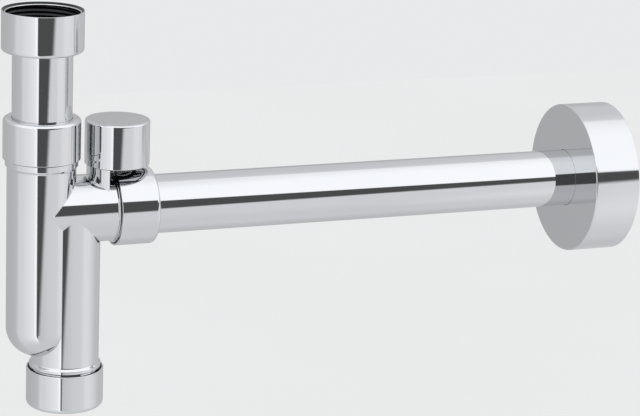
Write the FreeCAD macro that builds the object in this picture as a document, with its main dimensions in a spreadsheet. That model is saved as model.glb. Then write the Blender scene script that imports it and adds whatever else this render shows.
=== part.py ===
import FreeCAD, Part
import math
import os
import Sketcher

# Chrome-plated basin trap with an anti-siphon valve on its outlet branch.
# Frame: millimetres, +Z up, +X along the waste pipe towards the wall.
# Origin: centre of the mouth of the union nut that screws up onto the basin waste.
# Heights below the mouth are kept on the sheet as positive drops.

SIZES = [
    ("tube_radius", 16.0, "outside of both 32 mm pipes"),
    ("tube_wall", 1.0, "wall of both pipes"),
    ("sliding_gap", 0.3, "radial room of a pipe in a plain bore"),
    ("thread_gap", 0.1, "radial room between a male and a female thread"),
    ("seal_gap", 0.05, "radial room of rubber on a pipe"),
    ("seat_gap", 0.3, "a tightened nut stops this far from its shoulder"),
    ("edge_break", 0.4, "deburred pipe ends"),

    ("union_height", 21.2, "height of the union nut"),
    ("union_thread_radius", 19.475, "crest of its female 1 1/4 inch pipe thread"),
    ("union_thread_depth", 13.2, "threaded depth"),
    ("union_relief", 0.7, "undercut under the thread"),
    ("union_wall", 1.575, "wall of the union nut outside that undercut"),
    ("union_lip", 3.0, "lip that hooks under the pipe's flange"),
    ("union_top_round", 1.1, "rounding of the rim"),
    ("union_foot_round", 1.7, "rounding of the lower edge"),

    ("collar_gap", 0.375, "room between the pipe's flange and the union thread"),
    ("collar_thick", 2.5, "thickness of the pipe's flange"),
    ("collar_round", 0.8, "rounding inside that flange"),
    ("inlet_gasket_thick", 2.3, "flat washer on the flange"),
    ("inlet_tube_drop", 112.0, "lower end of the inlet pipe"),

    ("spigot_wall", 2.65, "crest of the male 1 1/8 inch pipe threads over the pipe's hole"),
    ("spigot_length", 13.9, "threaded length at the inlet and the outlet"),
    ("mouth_flare", 1.6, "flare of the seal's conical seat over the pipe's hole"),
    ("mouth_depth", 3.2, "depth of that seat"),
    ("seal_stand", 3.2, "height of the seal above its seat"),
    ("seal_room", 0.45, "room around the seal inside its nut"),
    ("slip_ring_room", 0.35, "room around the slip ring inside its nut"),
    ("slip_ring_thick", 1.6, "thickness of the slip ring"),
    ("clamp_lip", 2.6, "lip of a compression nut"),
    ("inlet_clamp_wall", 1.6, "wall of the inlet compression nut"),
    ("outlet_clamp_wall", 2.0, "wall of the outlet compression nut"),
    ("clamp_nose_round", 2.2, "rounding of a nut's outer end"),
    ("clamp_tail_round", 0.6, "rounding of a nut's open end"),

    ("branch_drop", 108.8, "axis of the outlet branch"),
    ("branch_wall", 2.0, "wall of the branch"),
    ("stop_step", 1.0, "height of the step that stops the waste pipe"),
    ("inlet_shoulder_rise", 28.9, "shoulder under the inlet compression nut, above the branch axis"),
    ("shoulder_step", 0.45, "height of the three shoulders over their threads"),
    ("shoulder_width", 2.5, "straight part of a shoulder"),
    ("shoulder_taper", 3.2, "cone behind a shoulder"),
    ("down_leg_wall", 2.1, "wall of the leg under the inlet"),
    ("down_leg_depth", 81.8, "its round bottom below the branch axis"),
    ("up_leg_wall", 2.0, "wall of the rising leg"),
    ("leg_spacing", 14.0, "distance between the axes of the legs"),
    ("crossing_sill", 0.5, "opening between the legs, above the inside of the round bottom"),
    ("crossing_height", 12.0, "height of that opening"),
    ("crossing_width", 20.0, "width of that opening"),

    ("clean_shoulder_depth", 5.8, "shoulder above the cleaning cap, below the round bottom"),
    ("clean_spigot_length", 16.5, "threaded length under it"),
    ("clean_spigot_wall", 2.75, "wall of that spigot, which sets the rising leg's bore"),
    ("clean_wall", 1.8, "wall of the cleaning cap"),
    ("clean_floor", 2.6, "bottom of the cleaning cap"),
    ("clean_gasket_thick", 2.5, "washer inside the cleaning cap"),
    ("clean_foot_round", 2.6, "rounding of its lower edge"),
    ("clean_rim_round", 0.9, "rounding of its rim"),

    ("valve_reach", 41.5, "axis of the valve cap, from the inlet axis"),
    ("shoulder_back", 3.3, "shoulder face of the branch, short of the valve axis"),
    ("stop_back", 4.8, "step that stops the waste pipe, behind that face"),
    ("cap_room", 3.05, "rim of the valve cap above the outlet compression nut"),
    ("cap_wall", 2.0, "wall of the valve cap"),
    ("cap_height", 24.2, "height of the valve cap"),
    ("cup_rise", 0.5, "underside of the valve cup above the cap's rim"),
    ("cup_wall", 1.8, "wall of the valve cup"),
    ("cup_floor", 2.4, "floor of the valve cup"),
    ("cap_top_thick", 2.0, "top of the valve cap"),
    ("cap_top_round", 1.2, "rounding of its upper edge"),
    ("cap_rim_round", 0.4, "rounding of its rim"),
    ("cap_gasket_thick", 2.0, "washer inside the valve cap"),
    ("cap_gasket_width", 3.2, "radial width of that washer"),
    ("neck_step", 0.9, "neck under the valve cup, outside the cup"),
    ("neck_wall", 1.5, "wall of the neck at its flat side"),

    ("seat_offset", 2.5, "air inlet ahead of the valve axis"),
    ("air_hole_radius", 6.5, "hole in the floor of the cup"),
    ("insert_gap", 0.15, "radial room of the insert in that hole"),
    ("insert_room", 0.6, "room between the insert's flange and the wall of the cup"),
    ("insert_thick", 1.6, "thickness of that flange"),
    ("insert_wall", 1.15, "wall of the insert around its air way"),
    ("insert_washer_width", 2.4, "washer under the flange"),
    ("insert_washer_thick", 1.0, "its thickness"),
    ("nozzle_height", 1.4, "seat ring above the flange"),
    ("hub_wall", 1.15, "wall of the guide hub"),
    ("hub_height", 2.0, "height of the guide hub"),
    ("spoke_width", 1.2, "three spokes hold the hub"),
    ("stem_radius", 1.0, "stem of the valve disc"),
    ("stem_gap", 0.15, "radial room of the stem in its hub"),
    ("membrane_lap", 2.25, "rubber membrane outside the seat ring"),
    ("membrane_thick", 0.8, "its thickness"),
    ("disc_step", 0.8, "membrane outside its plate"),
    ("disc_thick", 1.2, "thickness of that plate"),
    ("button_radius", 1.9, "button on the plate"),
    ("button_height", 1.0, "its height"),
    ("disc_lift", 3.0, "lift of the disc"),
    ("cage_room", 0.7, "room around the membrane inside the cage"),
    ("cage_wall", 1.1, "wall of the cage"),
    ("cage_top", 1.2, "top of the cage"),
    ("cage_window_width", 8.0, "windows in the cage's wall"),
    ("cage_window_edge", 1.2, "rail above and below a window"),

    ("outlet_tube_gap", 5.1, "end of the waste pipe to its stop at rest"),
    ("outlet_tube_length", 297.7, "length of the waste pipe"),

    ("flange_radius", 42.1, "outside of the wall flange"),
    ("flange_depth", 26.9, "depth of the wall flange"),
    ("flange_face", 2.0, "thickness of its front"),
    ("flange_wall", 1.8, "thickness of its side"),
    ("flange_round", 0.8, "rounding of its front edge"),
    ("flange_hub_wall", 3.4, "wall of the hub inside the flange"),
    ("flange_hub_length", 7.0, "length of that hub behind the front"),
    ("grip_section", 1.2, "section radius of the grip ring"),
    ("grip_gap", 0.1, "room around the grip ring in its groove"),
    ("grip_place", 5.0, "grip ring behind the front face"),
]

AXIS_Z = FreeCAD.Vector(0, 0, 1)
ALONG_PIPE = FreeCAD.Rotation(FreeCAD.Vector(0, 1, 0), 90)
UPRIGHT = FreeCAD.Rotation()

doc = FreeCAD.newDocument("AntiSiphonTrap")
sheet = doc.addObject("Spreadsheet::Sheet", "Sizes")
for row, (alias, number, words) in enumerate(SIZES, 1):
    sheet.set("A%d" % row, words)
    sheet.set("B%d" % row, str(number))
    sheet.setAlias("B%d" % row, alias)
doc.recompute()

pieces = []


def bound(words):
    """Turns an expression written with bare size names into one that reads the sheet."""
    text = words
    for alias in sorted((entry[0] for entry in SIZES), key=len, reverse=True):
        text = text.replace("<%s>" % alias, "Sizes.%s" % alias)
    return text


def number_of(words):
    """Works out an expression's number from the sheet."""
    result = sheet.evalExpression(bound(words))
    return float(getattr(result, "Value", result))


def new_piece(label, place=("0", "0", "0"), turn=UPRIGHT):
    """Starts a body at a place worked out from the sheet, upright or lying along the pipe."""
    body = doc.addObject("PartDesign::Body", label)
    body.Label = label
    body.Placement = FreeCAD.Placement(FreeCAD.Vector(), turn)
    for letter, words in zip("xyz", place):
        body.setExpression("Placement.Base.%s" % letter, bound(words))
    pieces.append(body)
    return body


def new_sketch(body, name, role="XZ_Plane", shift=("0", "0", "0")):
    """Puts an empty sketch on one of the body's own planes, shifted in that plane."""
    sketch = body.newObject("Sketcher::SketchObject", name)
    plane = [item for item in body.Origin.OriginFeatures if item.Role == role][0]
    sketch.AttachmentSupport = [(plane, "")]
    sketch.MapMode = "FlatFace"
    for letter, words in zip("xyz", shift):
        sketch.setExpression("AttachmentOffset.Base.%s" % letter, bound(words))
    return sketch


def draw_outline(sketch, corners):
    """Draws a closed outline whose corners are tied to the sheet.

    A corner is (x, y), or (x, y, centre x, centre y) where an arc leads on to the next one.
    Both ends of an arc and its centre's x are tied, which leaves its centre one place to be.
    """
    spots = [tuple(number_of(words) for words in corner) for corner in corners]
    count = len(corners)
    ends = []
    for index, spot in enumerate(spots):
        after = spots[(index + 1) % count]
        start = FreeCAD.Vector(spot[0], spot[1], 0)
        end = FreeCAD.Vector(after[0], after[1], 0)
        if len(spot) == 2:
            sketch.addGeometry(Part.LineSegment(start, end), False)
            ends.append((1, 2))
            continue
        centre = FreeCAD.Vector(spot[2], spot[3], 0)
        forward = (start - centre).cross(end - centre).z > 0
        first, last = (start, end) if forward else (end, start)
        begin_angle = math.atan2(first.y - centre.y, first.x - centre.x)
        end_angle = math.atan2(last.y - centre.y, last.x - centre.x)
        circle = Part.Circle(centre, AXIS_Z, (start - centre).Length)
        sketch.addGeometry(Part.ArcOfCircle(circle, begin_angle, end_angle), False)
        ends.append((1, 2) if forward else (2, 1))
    for index in range(count):
        after = (index + 1) % count
        meeting = (index, ends[index][1], after, ends[after][0])
        sketch.addConstraint(Sketcher.Constraint("Coincident", *meeting))
    for index, corner in enumerate(corners):
        tie(sketch, "DistanceX", index, ends[index][0], spots[index][0], corner[0])
        tie(sketch, "DistanceY", index, ends[index][0], spots[index][1], corner[1])
        if len(corner) == 4:
            tie(sketch, "DistanceX", index, 3, spots[index][2], corner[2])


def tie(sketch, kind, geometry, point, number, words):
    """Sets one coordinate of a point from the sheet."""
    row = sketch.addConstraint(Sketcher.Constraint(kind, -1, 1, geometry, point, number))
    sketch.setExpression("Constraints[%d]" % row, bound(words))


def draw_circle(sketch, x, y, radius):
    """Draws a circle whose centre and radius are tied to the sheet."""
    centre = FreeCAD.Vector(number_of(x), number_of(y), 0)
    index = sketch.addGeometry(Part.Circle(centre, AXIS_Z, number_of(radius)), False)
    tie(sketch, "DistanceX", index, 3, centre.x, x)
    tie(sketch, "DistanceY", index, 3, centre.y, y)
    row = sketch.addConstraint(Sketcher.Constraint("Radius", index, number_of(radius)))
    sketch.setExpression("Constraints[%d]" % row, bound(radius))


def turn_solid(body, name, sketch, axis="V_Axis", cut=False):
    """Turns an outline a full circle about an axis of its sketch, to add or to cut."""
    kind = "PartDesign::Groove" if cut else "PartDesign::Revolution"
    feature = body.newObject(kind, name)
    feature.Profile = (sketch, [""])
    feature.ReferenceAxis = (sketch, [axis])
    feature.Angle = 360
    sketch.Visibility = False
    doc.recompute()
    return feature


def turned(body, name, corners, axis="V_Axis", shift=("0", "0", "0"), cut=False):
    """Sketches an outline on the body's upright plane and turns it."""
    sketch = new_sketch(body, name + "Outline", shift=shift)
    draw_outline(sketch, corners)
    return turn_solid(body, name, sketch, axis, cut)


def raise_solid(body, name, sketch, length, down=False):
    """Pads a sketch by a length from the sheet."""
    feature = body.newObject("PartDesign::Pad", name)
    feature.Profile = (sketch, [""])
    feature.setExpression("Length", bound(length))
    feature.Reversed = down
    sketch.Visibility = False
    doc.recompute()
    return feature


def cut_down(body, name, sketch, length, both_ways=False):
    """Pockets a sketch downwards, or both ways from its plane, and sees that it cuts."""
    before = body.Shape.Volume
    feature = body.newObject("PartDesign::Pocket", name)
    feature.Profile = (sketch, [""])
    feature.setExpression("Length", bound(length))
    feature.Midplane = both_ways
    sketch.Visibility = False
    doc.recompute()
    if body.Shape.Volume > before - 0.001:
        raise RuntimeError("%s cuts nothing" % name)
    return feature


def rings_at(feature, radius, height):
    """Names a feature's round edges of a radius about its axis at a height."""
    names = []
    for index, edge in enumerate(feature.Shape.Edges, 1):
        curve = edge.Curve
        if not isinstance(curve, Part.Circle):
            continue
        near = abs(curve.Radius - number_of(radius)) < 0.001
        level = abs(curve.Center.z - number_of(height)) < 0.001
        if near and level:
            names.append("Edge%d" % index)
    return names


def round_rings(body, name, size, *spots):
    """Rounds the circular edges at the given (radius, height) spots."""
    base = body.Tip
    names = []
    for radius, height in spots:
        names += rings_at(base, radius, height)
    if len(names) < len(spots):
        raise RuntimeError("%s finds no edge" % name)
    feature = body.newObject("PartDesign::Fillet", name)
    feature.Base = (base, names)
    feature.setExpression("Radius", bound(size))
    doc.recompute()
    return feature


def break_rings(body, name, size, *spots):
    """Chamfers the circular edges at the given (radius, height) spots."""
    base = body.Tip
    names = []
    for radius, height in spots:
        names += rings_at(base, radius, height)
    if len(names) < len(spots):
        raise RuntimeError("%s finds no edge" % name)
    feature = body.newObject("PartDesign::Chamfer", name)
    feature.Base = (base, names)
    feature.setExpression("Size", bound(size))
    doc.recompute()
    return feature


# Heights and radii that several pieces share, each worked out once from the sheet
TUBE_BORE = "(<tube_radius> - <tube_wall>)"
PIPE_HOLE = "(<tube_radius> + <sliding_gap>)"
SPIGOT_RADIUS = "(<tube_radius> + <sliding_gap> + <spigot_wall>)"
FEMALE_THREAD = "(<tube_radius> + <sliding_gap> + <spigot_wall> + <thread_gap>)"
SHOULDER_RADIUS = "(%s + <shoulder_step>)" % SPIGOT_RADIUS
MOUTH_RADIUS = "(%s + <mouth_flare>)" % PIPE_HOLE
COLLAR_RADIUS = "(<union_thread_radius> - <collar_gap>)"
UNION_SEAT = "(-<union_height> + <union_lip>)"
COLLAR_TOP = "(-<union_height> + <union_lip> + <collar_thick>)"
SEAL_TOP = "(<spigot_length> + <seal_stand>)"
SLIP_RING_TOP = "(<spigot_length> + <seal_stand> + <slip_ring_thick>)"
CLAMP_TOP = "(<spigot_length> + <seal_stand> + <slip_ring_thick> + <clamp_lip>)"
BRANCH_AXIS = "-<branch_drop>"
BRANCH_RADIUS = "(%s + <branch_wall>)" % PIPE_HOLE
BRANCH_END = "(<valve_reach> - <shoulder_back>)"
BRANCH_STOP = "(<valve_reach> - <shoulder_back> - <stop_back>)"
INLET_SHOULDER_LEVEL = "(-<branch_drop> + <inlet_shoulder_rise>)"
INLET_SHOULDER = ("0", "0", INLET_SHOULDER_LEVEL)
OUTLET_SHOULDER = (BRANCH_END, "0", BRANCH_AXIS)
DOWN_LEG_RADIUS = "(%s + <down_leg_wall>)" % PIPE_HOLE
DOWN_LEG_BOTTOM = "(-<branch_drop> - <down_leg_depth>)"
DOWN_LEG_CENTRE = "(%s + %s)" % (DOWN_LEG_BOTTOM, DOWN_LEG_RADIUS)
UP_LEG_BORE = "(%s - <clean_spigot_wall>)" % SPIGOT_RADIUS
UP_LEG_RADIUS = "(%s + <up_leg_wall>)" % UP_LEG_BORE
CLEAN_SHOULDER_LEVEL = "(%s - <clean_shoulder_depth>)" % DOWN_LEG_BOTTOM
CLEAN_SPIGOT_END = "(%s - <clean_spigot_length>)" % CLEAN_SHOULDER_LEVEL
CLEAN_FLOOR_TOP = "(%s - <clean_gasket_thick>)" % CLEAN_SPIGOT_END
INSERT_SPIGOT = "(<air_hole_radius> - <insert_gap>)"
INSERT_BORE = "(%s - <insert_wall>)" % INSERT_SPIGOT
MEMBRANE_RADIUS = "(%s + <membrane_lap>)" % INSERT_SPIGOT
CAGE_BORE = "(%s + <cage_room>)" % MEMBRANE_RADIUS
INSERT_RADIUS = "(%s + <cage_wall>)" % CAGE_BORE
CUP_BORE = "(%s + <seat_offset> + <insert_room>)" % INSERT_RADIUS
CUP_RADIUS = "(%s + <cup_wall>)" % CUP_BORE
CAP_RIM = "(-<branch_drop> + %s + <outlet_clamp_wall> + <cap_room>)" % FEMALE_THREAD
CAP_TOP = "(%s + <cap_height>)" % CAP_RIM
CAP_CEILING = "(%s - <cap_top_thick>)" % CAP_TOP
CUP_RIM = "(%s - <cap_gasket_thick>)" % CAP_CEILING
CUP_FOOT = "(%s + <cup_rise>)" % CAP_RIM
CUP_FLOOR_TOP = "(%s + <cup_floor>)" % CUP_FOOT
VALVE_SEAT_PLACE = ("<valve_reach> + <seat_offset>", "0", CUP_FLOOR_TOP)
INSERT_TOP = "(<insert_washer_thick> + <insert_thick>)"
NOZZLE_TOP = "(<insert_washer_thick> + <insert_thick> + <nozzle_height>)"
MEMBRANE_TOP = "(<insert_washer_thick> + <insert_thick> + <nozzle_height> + <membrane_thick>)"
DISC_TOP = "(%s + <disc_thick>)" % MEMBRANE_TOP
CAGE_CEILING = "(%s + <button_height> + <disc_lift> + <sliding_gap>)" % DISC_TOP
TUBE_START = "(%s + <outlet_tube_gap>)" % BRANCH_STOP
FLANGE_FRONT = "(%s + <outlet_tube_length> - <flange_depth>)" % TUBE_START


def union_nut():
    """The nut that hangs the trap on the basin waste, open at both ends, threaded at the top."""
    body = new_piece("inlet_union_nut")
    relief = "(<union_thread_radius> + <union_relief>)"
    outside = "(%s + <union_wall>)" % relief
    turned(body, "Nut", [
        ("<union_thread_radius>", "0"),
        (outside, "0"),
        (outside, "-<union_height>"),
        (PIPE_HOLE, "-<union_height>"),
        (PIPE_HOLE, UNION_SEAT),
        (relief, UNION_SEAT),
        (relief, "-<union_thread_depth>"),
        ("<union_thread_radius>", "-<union_thread_depth>"),
    ])
    round_rings(body, "RimRounding", "<union_top_round>", (outside, "0"))
    round_rings(body, "FootRounding", "<union_foot_round>", (outside, "-<union_height>"))


def inlet_pipe():
    """The pipe that dips into the trap, with the flange that the union nut pulls up."""
    body = new_piece("inlet_pipe")
    turned(body, "Pipe", [
        (TUBE_BORE, COLLAR_TOP),
        (COLLAR_RADIUS, COLLAR_TOP),
        (COLLAR_RADIUS, UNION_SEAT),
        ("<tube_radius>", UNION_SEAT),
        ("<tube_radius>", "-<inlet_tube_drop>"),
        (TUBE_BORE, "-<inlet_tube_drop>"),
    ])
    round_rings(body, "MouthRounding", "<collar_round>", (TUBE_BORE, COLLAR_TOP))
    break_rings(body, "EndBreak", "<edge_break>", ("<tube_radius>", "-<inlet_tube_drop>"))


def inlet_washer():
    """The flat washer between the pipe's flange and the basin waste."""
    body = new_piece("inlet_washer")
    top = "(%s + <inlet_gasket_thick>)" % COLLAR_TOP
    bore = "(%s + <collar_round>)" % TUBE_BORE
    turned(body, "Washer", [
        (bore, COLLAR_TOP),
        (COLLAR_RADIUS, COLLAR_TOP),
        (COLLAR_RADIUS, top),
        (bore, top),
    ])


def compression_nut(label, place, turn, wall):
    """A nut that squeezes the seal around a pipe; its own frame starts at the body's shoulder."""
    body = new_piece(label, place, turn)
    outside = "(%s + %s)" % (FEMALE_THREAD, wall)
    turned(body, "Nut", [
        (FEMALE_THREAD, "<seat_gap>"),
        (outside, "<seat_gap>"),
        (outside, CLAMP_TOP),
        (PIPE_HOLE, CLAMP_TOP),
        (PIPE_HOLE, SLIP_RING_TOP),
        (FEMALE_THREAD, SLIP_RING_TOP),
    ])
    round_rings(body, "NoseRounding", "<clamp_nose_round>", (outside, CLAMP_TOP))
    round_rings(body, "TailRounding", "<clamp_tail_round>", (outside, "<seat_gap>"))


def slip_ring(label, place, turn):
    """The plastic ring that lets the nut turn without dragging the seal round."""
    body = new_piece(label, place, turn)
    bore = "(<tube_radius> + <sliding_gap> / 2)"
    outside = "(%s - <slip_ring_room>)" % FEMALE_THREAD
    turned(body, "Ring", [
        (bore, SEAL_TOP),
        (outside, SEAL_TOP),
        (outside, SLIP_RING_TOP),
        (bore, SLIP_RING_TOP),
    ])


def conical_seal(label, place, turn):
    """The rubber ring whose cone is pressed into the mouth of the spigot."""
    body = new_piece(label, place, turn)
    bore = "(<tube_radius> + <seal_gap>)"
    outside = "(%s - <seal_room>)" % FEMALE_THREAD
    turned(body, "Seal", [
        (bore, "<spigot_length> - <mouth_depth>"),
        (PIPE_HOLE, "<spigot_length> - <mouth_depth>"),
        (MOUTH_RADIUS, "<spigot_length>"),
        (outside, "<spigot_length>"),
        (outside, SEAL_TOP),
        (bore, SEAL_TOP),
    ])


def down_leg_outline():
    """Outline of the inlet leg with its spigot, shoulder, cone and round bottom."""
    top = "(%s + <spigot_length>)" % INLET_SHOULDER_LEVEL
    shoulder_foot = "(%s - <shoulder_width>)" % INLET_SHOULDER_LEVEL
    return [
        ("0", top),
        (SPIGOT_RADIUS, top),
        (SPIGOT_RADIUS, INLET_SHOULDER_LEVEL),
        (SHOULDER_RADIUS, INLET_SHOULDER_LEVEL),
        (SHOULDER_RADIUS, shoulder_foot),
        (DOWN_LEG_RADIUS, shoulder_foot + " - <shoulder_taper>"),
        (DOWN_LEG_RADIUS, DOWN_LEG_CENTRE, "0", DOWN_LEG_CENTRE),
        ("0", DOWN_LEG_BOTTOM),
    ]


def neck_outline(sketch, radius, face):
    """Draws the part of the valve's circle that lies on the inlet side of a flat face."""
    reach = "(<valve_reach> - %s)" % face
    half = "sqrt(%s * %s - %s * %s)" % (radius, radius, reach, reach)
    draw_outline(sketch, [
        (face, half, "<valve_reach>", "0"),
        (face, "-" + half),
    ])


def cast_body():
    """The cast body: two legs side by side, the outlet branch and the cup for the valve."""
    body = new_piece("trap_body")
    leg_axis = ("<leg_spacing>", "0", "0")
    valve_axis = ("<valve_reach>", "0", "0")
    branch_axis = ("0", BRANCH_AXIS, "0")
    clean_cone = CLEAN_SHOULDER_LEVEL + " + <shoulder_width>"
    branch_spigot_end = "(%s + <spigot_length>)" % BRANCH_END
    branch_cone = BRANCH_END + " - <shoulder_width>"
    inlet_top = "(%s + <spigot_length>)" % INLET_SHOULDER_LEVEL

    down_leg = new_sketch(body, "DownLegOutline")
    draw_outline(down_leg, down_leg_outline())
    turn_solid(body, "DownLeg", down_leg)

    turned(body, "UpLeg", [
        ("0", BRANCH_AXIS),
        (UP_LEG_RADIUS, BRANCH_AXIS),
        (UP_LEG_RADIUS, clean_cone + " + <shoulder_taper>"),
        (SHOULDER_RADIUS, clean_cone),
        (SHOULDER_RADIUS, CLEAN_SHOULDER_LEVEL),
        (SPIGOT_RADIUS, CLEAN_SHOULDER_LEVEL),
        (SPIGOT_RADIUS, CLEAN_SPIGOT_END),
        ("0", CLEAN_SPIGOT_END),
    ], shift=leg_axis)

    turned(body, "Branch", [
        ("0", "0"),
        ("0", BRANCH_RADIUS),
        (branch_cone + " - <shoulder_taper>", BRANCH_RADIUS),
        (branch_cone, SHOULDER_RADIUS),
        (BRANCH_END, SHOULDER_RADIUS),
        (BRANCH_END, SPIGOT_RADIUS),
        (branch_spigot_end, SPIGOT_RADIUS),
        (branch_spigot_end, "0"),
    ], axis="H_Axis", shift=branch_axis)

    turned(body, "ValveCup", [
        ("0", CUP_FOOT),
        (CUP_RADIUS, CUP_FOOT),
        (CUP_RADIUS, CUP_RIM),
        (CUP_BORE, CUP_RIM),
        (CUP_BORE, CUP_FLOOR_TOP),
        ("0", CUP_FLOOR_TOP),
    ], shift=valve_axis)

    core_top = "(%s + <cup_floor> / 2)" % CUP_FOOT
    core = new_sketch(body, "NeckCoreOutline", "XY_Plane", ("0", "0", core_top))
    neck_outline(core, CUP_RADIUS, BRANCH_STOP)
    raise_solid(body, "NeckCore", core, "<branch_drop> + %s" % core_top, down=True)

    skin_top = "(%s - <seat_gap>)" % CAP_RIM
    skin = new_sketch(body, "NeckOutline", "XY_Plane", ("0", "0", skin_top))
    neck_outline(skin, "(%s + <neck_step>)" % CUP_RADIUS, BRANCH_STOP)
    raise_solid(body, "Neck", skin, "<branch_drop> + %s" % skin_top, down=True)

    turned(body, "UpLegBore", [
        ("0", BRANCH_AXIS),
        (UP_LEG_BORE, BRANCH_AXIS),
        (UP_LEG_BORE, CLEAN_SPIGOT_END),
        ("0", CLEAN_SPIGOT_END),
    ], shift=leg_axis, cut=True)

    turned(body, "BranchBore", [
        ("<leg_spacing> / 2", "0"),
        ("<leg_spacing> / 2", PIPE_HOLE + " - <stop_step>"),
        (BRANCH_STOP, PIPE_HOLE + " - <stop_step>"),
        (BRANCH_STOP, PIPE_HOLE),
        (branch_spigot_end + " - <mouth_depth>", PIPE_HOLE),
        (branch_spigot_end, MOUTH_RADIUS),
        (branch_spigot_end, "0"),
    ], axis="H_Axis", shift=branch_axis, cut=True)

    air_way = new_sketch(body, "AirWayOutline", "XY_Plane", ("0", "0", CUP_FLOOR_TOP))
    neck_outline(air_way, CUP_BORE, "(%s - <neck_wall>)" % BRANCH_STOP)
    cut_down(body, "AirWay", air_way, "<branch_drop> + %s" % CUP_FLOOR_TOP)

    turn_solid(body, "DownLegWall", down_leg)

    turned(body, "DownLegBore", [
        ("0", inlet_top),
        (MOUTH_RADIUS, inlet_top),
        (PIPE_HOLE, inlet_top + " - <mouth_depth>"),
        (PIPE_HOLE, DOWN_LEG_CENTRE, "0", DOWN_LEG_CENTRE),
        ("0", DOWN_LEG_BOTTOM + " + <down_leg_wall>"),
    ], cut=True)

    crossing_top = "(%s + <down_leg_wall> + <crossing_sill> + <crossing_height>)" % DOWN_LEG_BOTTOM
    crossing = new_sketch(body, "CrossingOutline", "XY_Plane", ("0", "0", crossing_top))
    far_side = "<leg_spacing> + %s / 3" % UP_LEG_RADIUS
    draw_outline(crossing, [
        ("0", "-<crossing_width> / 2"),
        (far_side, "-<crossing_width> / 2"),
        (far_side, "<crossing_width> / 2"),
        ("0", "<crossing_width> / 2"),
    ])
    cut_down(body, "Crossing", crossing, "<crossing_height>")

    air_hole = new_sketch(body, "AirHoleOutline", "XY_Plane", ("0", "0", CUP_FLOOR_TOP))
    draw_circle(air_hole, "<valve_reach> + <seat_offset>", "0", "<air_hole_radius>")
    cut_down(body, "AirHole", air_hole, "<cup_floor>")


def cleaning_washer():
    """The flat washer in the bottom of the cleaning cap."""
    body = new_piece("cleaning_washer", ("<leg_spacing>", "0", "0"))
    turned(body, "Washer", [
        (UP_LEG_BORE, CLEAN_FLOOR_TOP),
        (SPIGOT_RADIUS, CLEAN_FLOOR_TOP),
        (SPIGOT_RADIUS, CLEAN_SPIGOT_END),
        (UP_LEG_BORE, CLEAN_SPIGOT_END),
    ])


def cleaning_cap():
    """The screw cap that closes the rising leg from below."""
    body = new_piece("cleaning_cap", ("<leg_spacing>", "0", "0"))
    outside = "(%s + <clean_wall>)" % FEMALE_THREAD
    rim = "(%s - <seat_gap>)" % CLEAN_SHOULDER_LEVEL
    foot = "(%s - <clean_floor>)" % CLEAN_FLOOR_TOP
    turned(body, "Cap", [
        ("0", foot),
        (outside, foot),
        (outside, rim),
        (FEMALE_THREAD, rim),
        (FEMALE_THREAD, CLEAN_FLOOR_TOP),
        ("0", CLEAN_FLOOR_TOP),
    ])
    round_rings(body, "FootRounding", "<clean_foot_round>", (outside, foot))
    round_rings(body, "RimRounding", "<clean_rim_round>", (outside, rim))


def valve_cap():
    """The chrome cap that closes the valve cup and overhangs the outlet nut."""
    body = new_piece("valve_cap", ("<valve_reach>", "0", "0"))
    inside = "(%s + <thread_gap>)" % CUP_RADIUS
    outside = "(%s + <cap_wall>)" % inside
    turned(body, "Cap", [
        ("0", CAP_CEILING),
        (inside, CAP_CEILING),
        (inside, CAP_RIM),
        (outside, CAP_RIM),
        (outside, CAP_TOP),
        ("0", CAP_TOP),
    ])
    round_rings(body, "TopRounding", "<cap_top_round>", (outside, CAP_TOP))
    round_rings(body, "RimRounding", "<cap_rim_round>", (outside, CAP_RIM))


def valve_cap_washer():
    """The washer that seals the valve cap on the rim of the cup."""
    body = new_piece("valve_cap_washer", ("<valve_reach>", "0", "0"))
    turned(body, "Washer", [
        (CUP_RADIUS + " - <cap_gasket_width>", CUP_RIM),
        (CUP_RADIUS, CUP_RIM),
        (CUP_RADIUS, CAP_CEILING),
        (CUP_RADIUS + " - <cap_gasket_width>", CAP_CEILING),
    ])


def valve_insert():
    """The moulded insert in the air hole: flange, seat ring and a hub on three spokes."""
    body = new_piece("valve_insert", VALVE_SEAT_PLACE)
    turned(body, "Ring", [
        (INSERT_BORE, "-<cup_floor>"),
        (INSERT_SPIGOT, "-<cup_floor>"),
        (INSERT_SPIGOT, "<insert_washer_thick>"),
        (INSERT_RADIUS, "<insert_washer_thick>"),
        (INSERT_RADIUS, INSERT_TOP),
        (INSERT_SPIGOT, INSERT_TOP),
        (INSERT_SPIGOT, NOZZLE_TOP),
        (INSERT_BORE, NOZZLE_TOP),
    ])
    spoke = new_sketch(body, "SpokeOutline", "XY_Plane", ("0", "0", "-<cup_floor>"))
    middle = "((%s + %s) / 2)" % (INSERT_BORE, INSERT_SPIGOT)
    draw_outline(spoke, [
        ("<stem_radius>", "-<spoke_width> / 2"),
        (middle, "-<spoke_width> / 2"),
        (middle, "<spoke_width> / 2"),
        ("<stem_radius>", "<spoke_width> / 2"),
    ])
    first = raise_solid(body, "Spoke", spoke, "<hub_height>")
    spokes = body.newObject("PartDesign::PolarPattern", "Spokes")
    spokes.Originals = [first]
    spokes.Axis = (spoke, ["N_Axis"])
    spokes.Angle = 360
    spokes.Occurrences = 3
    body.Tip = spokes
    doc.recompute()
    hub = new_sketch(body, "HubOutline", "XY_Plane", ("0", "0", "-<cup_floor>"))
    draw_circle(hub, "0", "0", "<stem_radius> + <stem_gap> + <hub_wall>")
    raise_solid(body, "Hub", hub, "<hub_height>")
    guide = new_sketch(body, "GuideOutline", "XY_Plane", ("0", "0", "-<cup_floor> + <hub_height>"))
    draw_circle(guide, "0", "0", "<stem_radius> + <stem_gap>")
    cut_down(body, "Guide", guide, "<hub_height>")


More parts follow.
